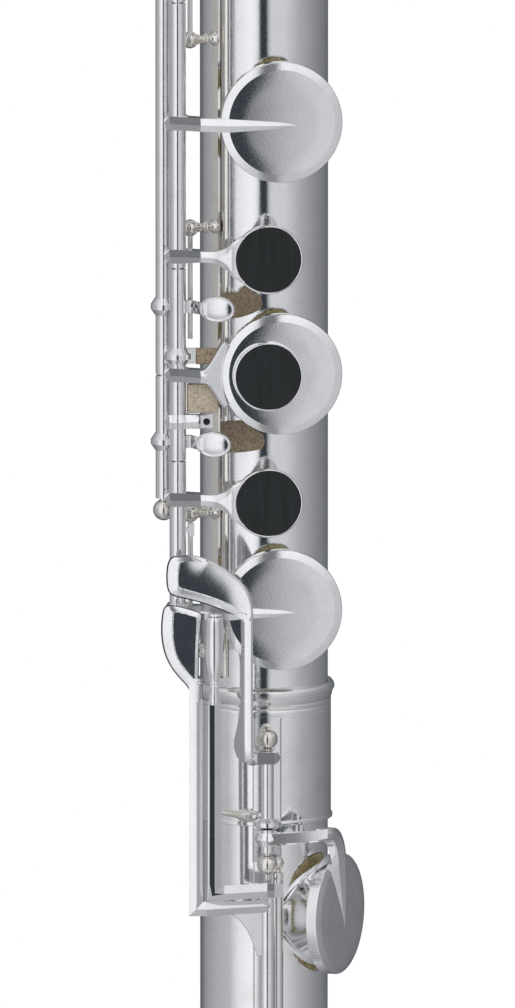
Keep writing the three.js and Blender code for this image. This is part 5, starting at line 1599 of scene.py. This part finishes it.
def make_floor():
    mesh = bpy.data.meshes.new("floor")
    angles = [math.radians(5 * i) for i in range(DRILL_SIDES)]
    ring = [(math.cos(a) * FLOOR_RADIUS, math.sin(a) * FLOOR_RADIUS, -FLOOR_DROP) for a in angles]
    mesh.from_pydata(ring, [], [tuple(range(DRILL_SIDES))])
    floor = linked("floor", mesh)
    material, tree, surface, place = shader("floor_pale")
    mottle = ramp(tree, noise(tree, place, 30, 3), [(0.3, FLOOR_TONES[0]), (0.7, FLOOR_TONES[1])])
    feed(tree, surface, {"Base Color": mottle, "Roughness": 0.8, "Specular IOR Level": 0.1})
    # The floor grows see-through towards its edge, so that it ends nowhere
    length = node(tree, "VectorMath", {0: place}, operation="LENGTH")
    fade = soft_step(tree, length.outputs["Value"], *FADE)
    nothing = node(tree, "BsdfTransparent", {})
    mixed = node(tree, "MixShader", {0: fade, 1: surface.outputs[0], 2: nothing.outputs[0]})
    output = [one for one in tree.nodes if one.type == "OUTPUT_MATERIAL"][0]
    tree.links.new(mixed.outputs[0], output.inputs[0])
    mesh.materials.append(material)
    floor.visible_glossy = False


# Screen greys round the room, by degrees from the front: level with the flute, above it and below it
LEVEL_BAND = [
    (-179, 85), (-150, 100), (-132, 141), (-93, 170), (-65, 180), (-59, 198), (-47, 225), (-30, 237),
    (-22, 240),
    (-14, 230), (-10, 205), (-6.6, 62), (-4, 50), (4.5, 50), (7.6, 160), (9.5, 184), (14, 204), (38, 201),
    (68, 166), (106, 135), (140, 114), (179, 85),
]
UPPER_BAND = [
    (-179, 110), (-120, 165), (-60, 220), (-30, 240), (-12, 243), (-8.5, 230), (-5.5, 114), (5.5, 112),
    (8.5, 225),
    (12, 243), (30, 236), (70, 205), (120, 155), (179, 110),
]
LOWER_BAND = [
    (-179, 85), (-120, 130), (-60, 175), (-30, 196), (-10, 196), (-6, 142), (6, 138), (9.5, 182), (14, 192),
    (30, 190), (70, 165), (120, 130), (179, 85),
]
TOP_GREY, BOTTOM_GREY = 214, 170
# Degrees up or down over which one band passes into the next
TO_UPPER, TO_LOWER, TO_TOP, TO_BOTTOM = (2.0, 34.0), (18.0, 48.0), (48.0, 82.0), (58.0, 85.0)
SOFT_LIGHT, WHITE = (0.82, 0.82, 0.82), (1.0, 1.0, 1.0)


def grey(level):
    """A screen grey of 0 to 255 as a plain light level, bluish where it is dark."""
    tints = (-6, 1, 7) if level < 100 else (-1, 0, 3)
    shares = [(level + tint) / 255 for tint in tints]
    return tuple(((share + 0.055) / 1.055) ** 2.4 / 0.93 for share in shares)


def make_world():
    world = bpy.data.worlds.new("studio")
    bpy.context.scene.world = world
    world.use_nodes = True
    tree = world.node_tree
    tree.nodes.clear()
    place = node(tree, "TexCoord", {}).outputs["Generated"]
    x, y, z = node(tree, "SeparateXYZ", {0: place}).outputs

    def maths(operation, *values):
        return node(tree, "Math", dict(enumerate(values)), operation=operation).outputs[0]

    def mix(share, a, b):
        a, b = [(*value, 1) if isinstance(value, tuple) else value for value in (a, b)]
        return node(tree, "Mix", {0: share, 6: a, 7: b}, data_type="RGBA").outputs[2]

    def band(stops):
        return ramp(tree, turn, [(azimuth / 360 + 0.5, grey(level)) for azimuth, level in stops])

    forward = maths("MULTIPLY", y, -1.0)
    turn = maths("ADD", maths("DIVIDE", maths("ARCTAN2", x, forward), 2 * math.pi), 0.5)
    up = maths("MULTIPLY", maths("ARCSINE", z), 180 / math.pi)
    down = maths("MULTIPLY", up, -1.0)
    colour = mix(soft_step(tree, up, *TO_UPPER), band(LEVEL_BAND), band(UPPER_BAND))
    colour = mix(soft_step(tree, down, *TO_LOWER), colour, band(LOWER_BAND))
    colour = mix(soft_step(tree, up, *TO_TOP), colour, grey(TOP_GREY))
    colour = mix(soft_step(tree, down, *TO_BOTTOM), colour, grey(BOTTOM_GREY))
    light = node(tree, "LightPath", {})
    colour = mix(light.outputs["Is Diffuse Ray"], colour, SOFT_LIGHT)
    colour = mix(light.outputs["Is Camera Ray"], colour, WHITE)
    background = node(tree, "Background", {0: colour})
    node(tree, "OutputWorld", {0: background.outputs[0]})


def make_lamp():
    lamp = bpy.data.lights.new("soft_sun", "SUN")
    lamp.energy = 0.7
    lamp.angle = math.radians(40)
    holder = linked("soft_sun", lamp)
    holder.rotation_euler = (math.radians(42), 0, math.radians(-28))
    holder.visible_glossy = False


# The camera looks down a little at the lower half of the body, from far off, as the photograph does
CAMERA_TILT = 8.5
CAMERA_TARGET = (-1.57, 0, 304)
CAMERA_METRES = 5.7


def make_camera():
    camera = bpy.data.cameras.new("camera")
    camera.lens = 840
    camera.sensor_width = 36
    camera.clip_end = 100
    holder = linked("camera", camera)
    bpy.context.scene.camera = holder
    tilt = math.radians(CAMERA_TILT)
    target = Vector(CAMERA_TARGET) * MM
    holder.location = target + Vector((0, -math.cos(tilt), math.sin(tilt))) * CAMERA_METRES
    holder.rotation_euler = (math.radians(90 - CAMERA_TILT), 0, 0)


make_floor()
make_world()
make_lamp()
make_camera()
bpy.context.scene.view_settings.view_transform = "Standard"
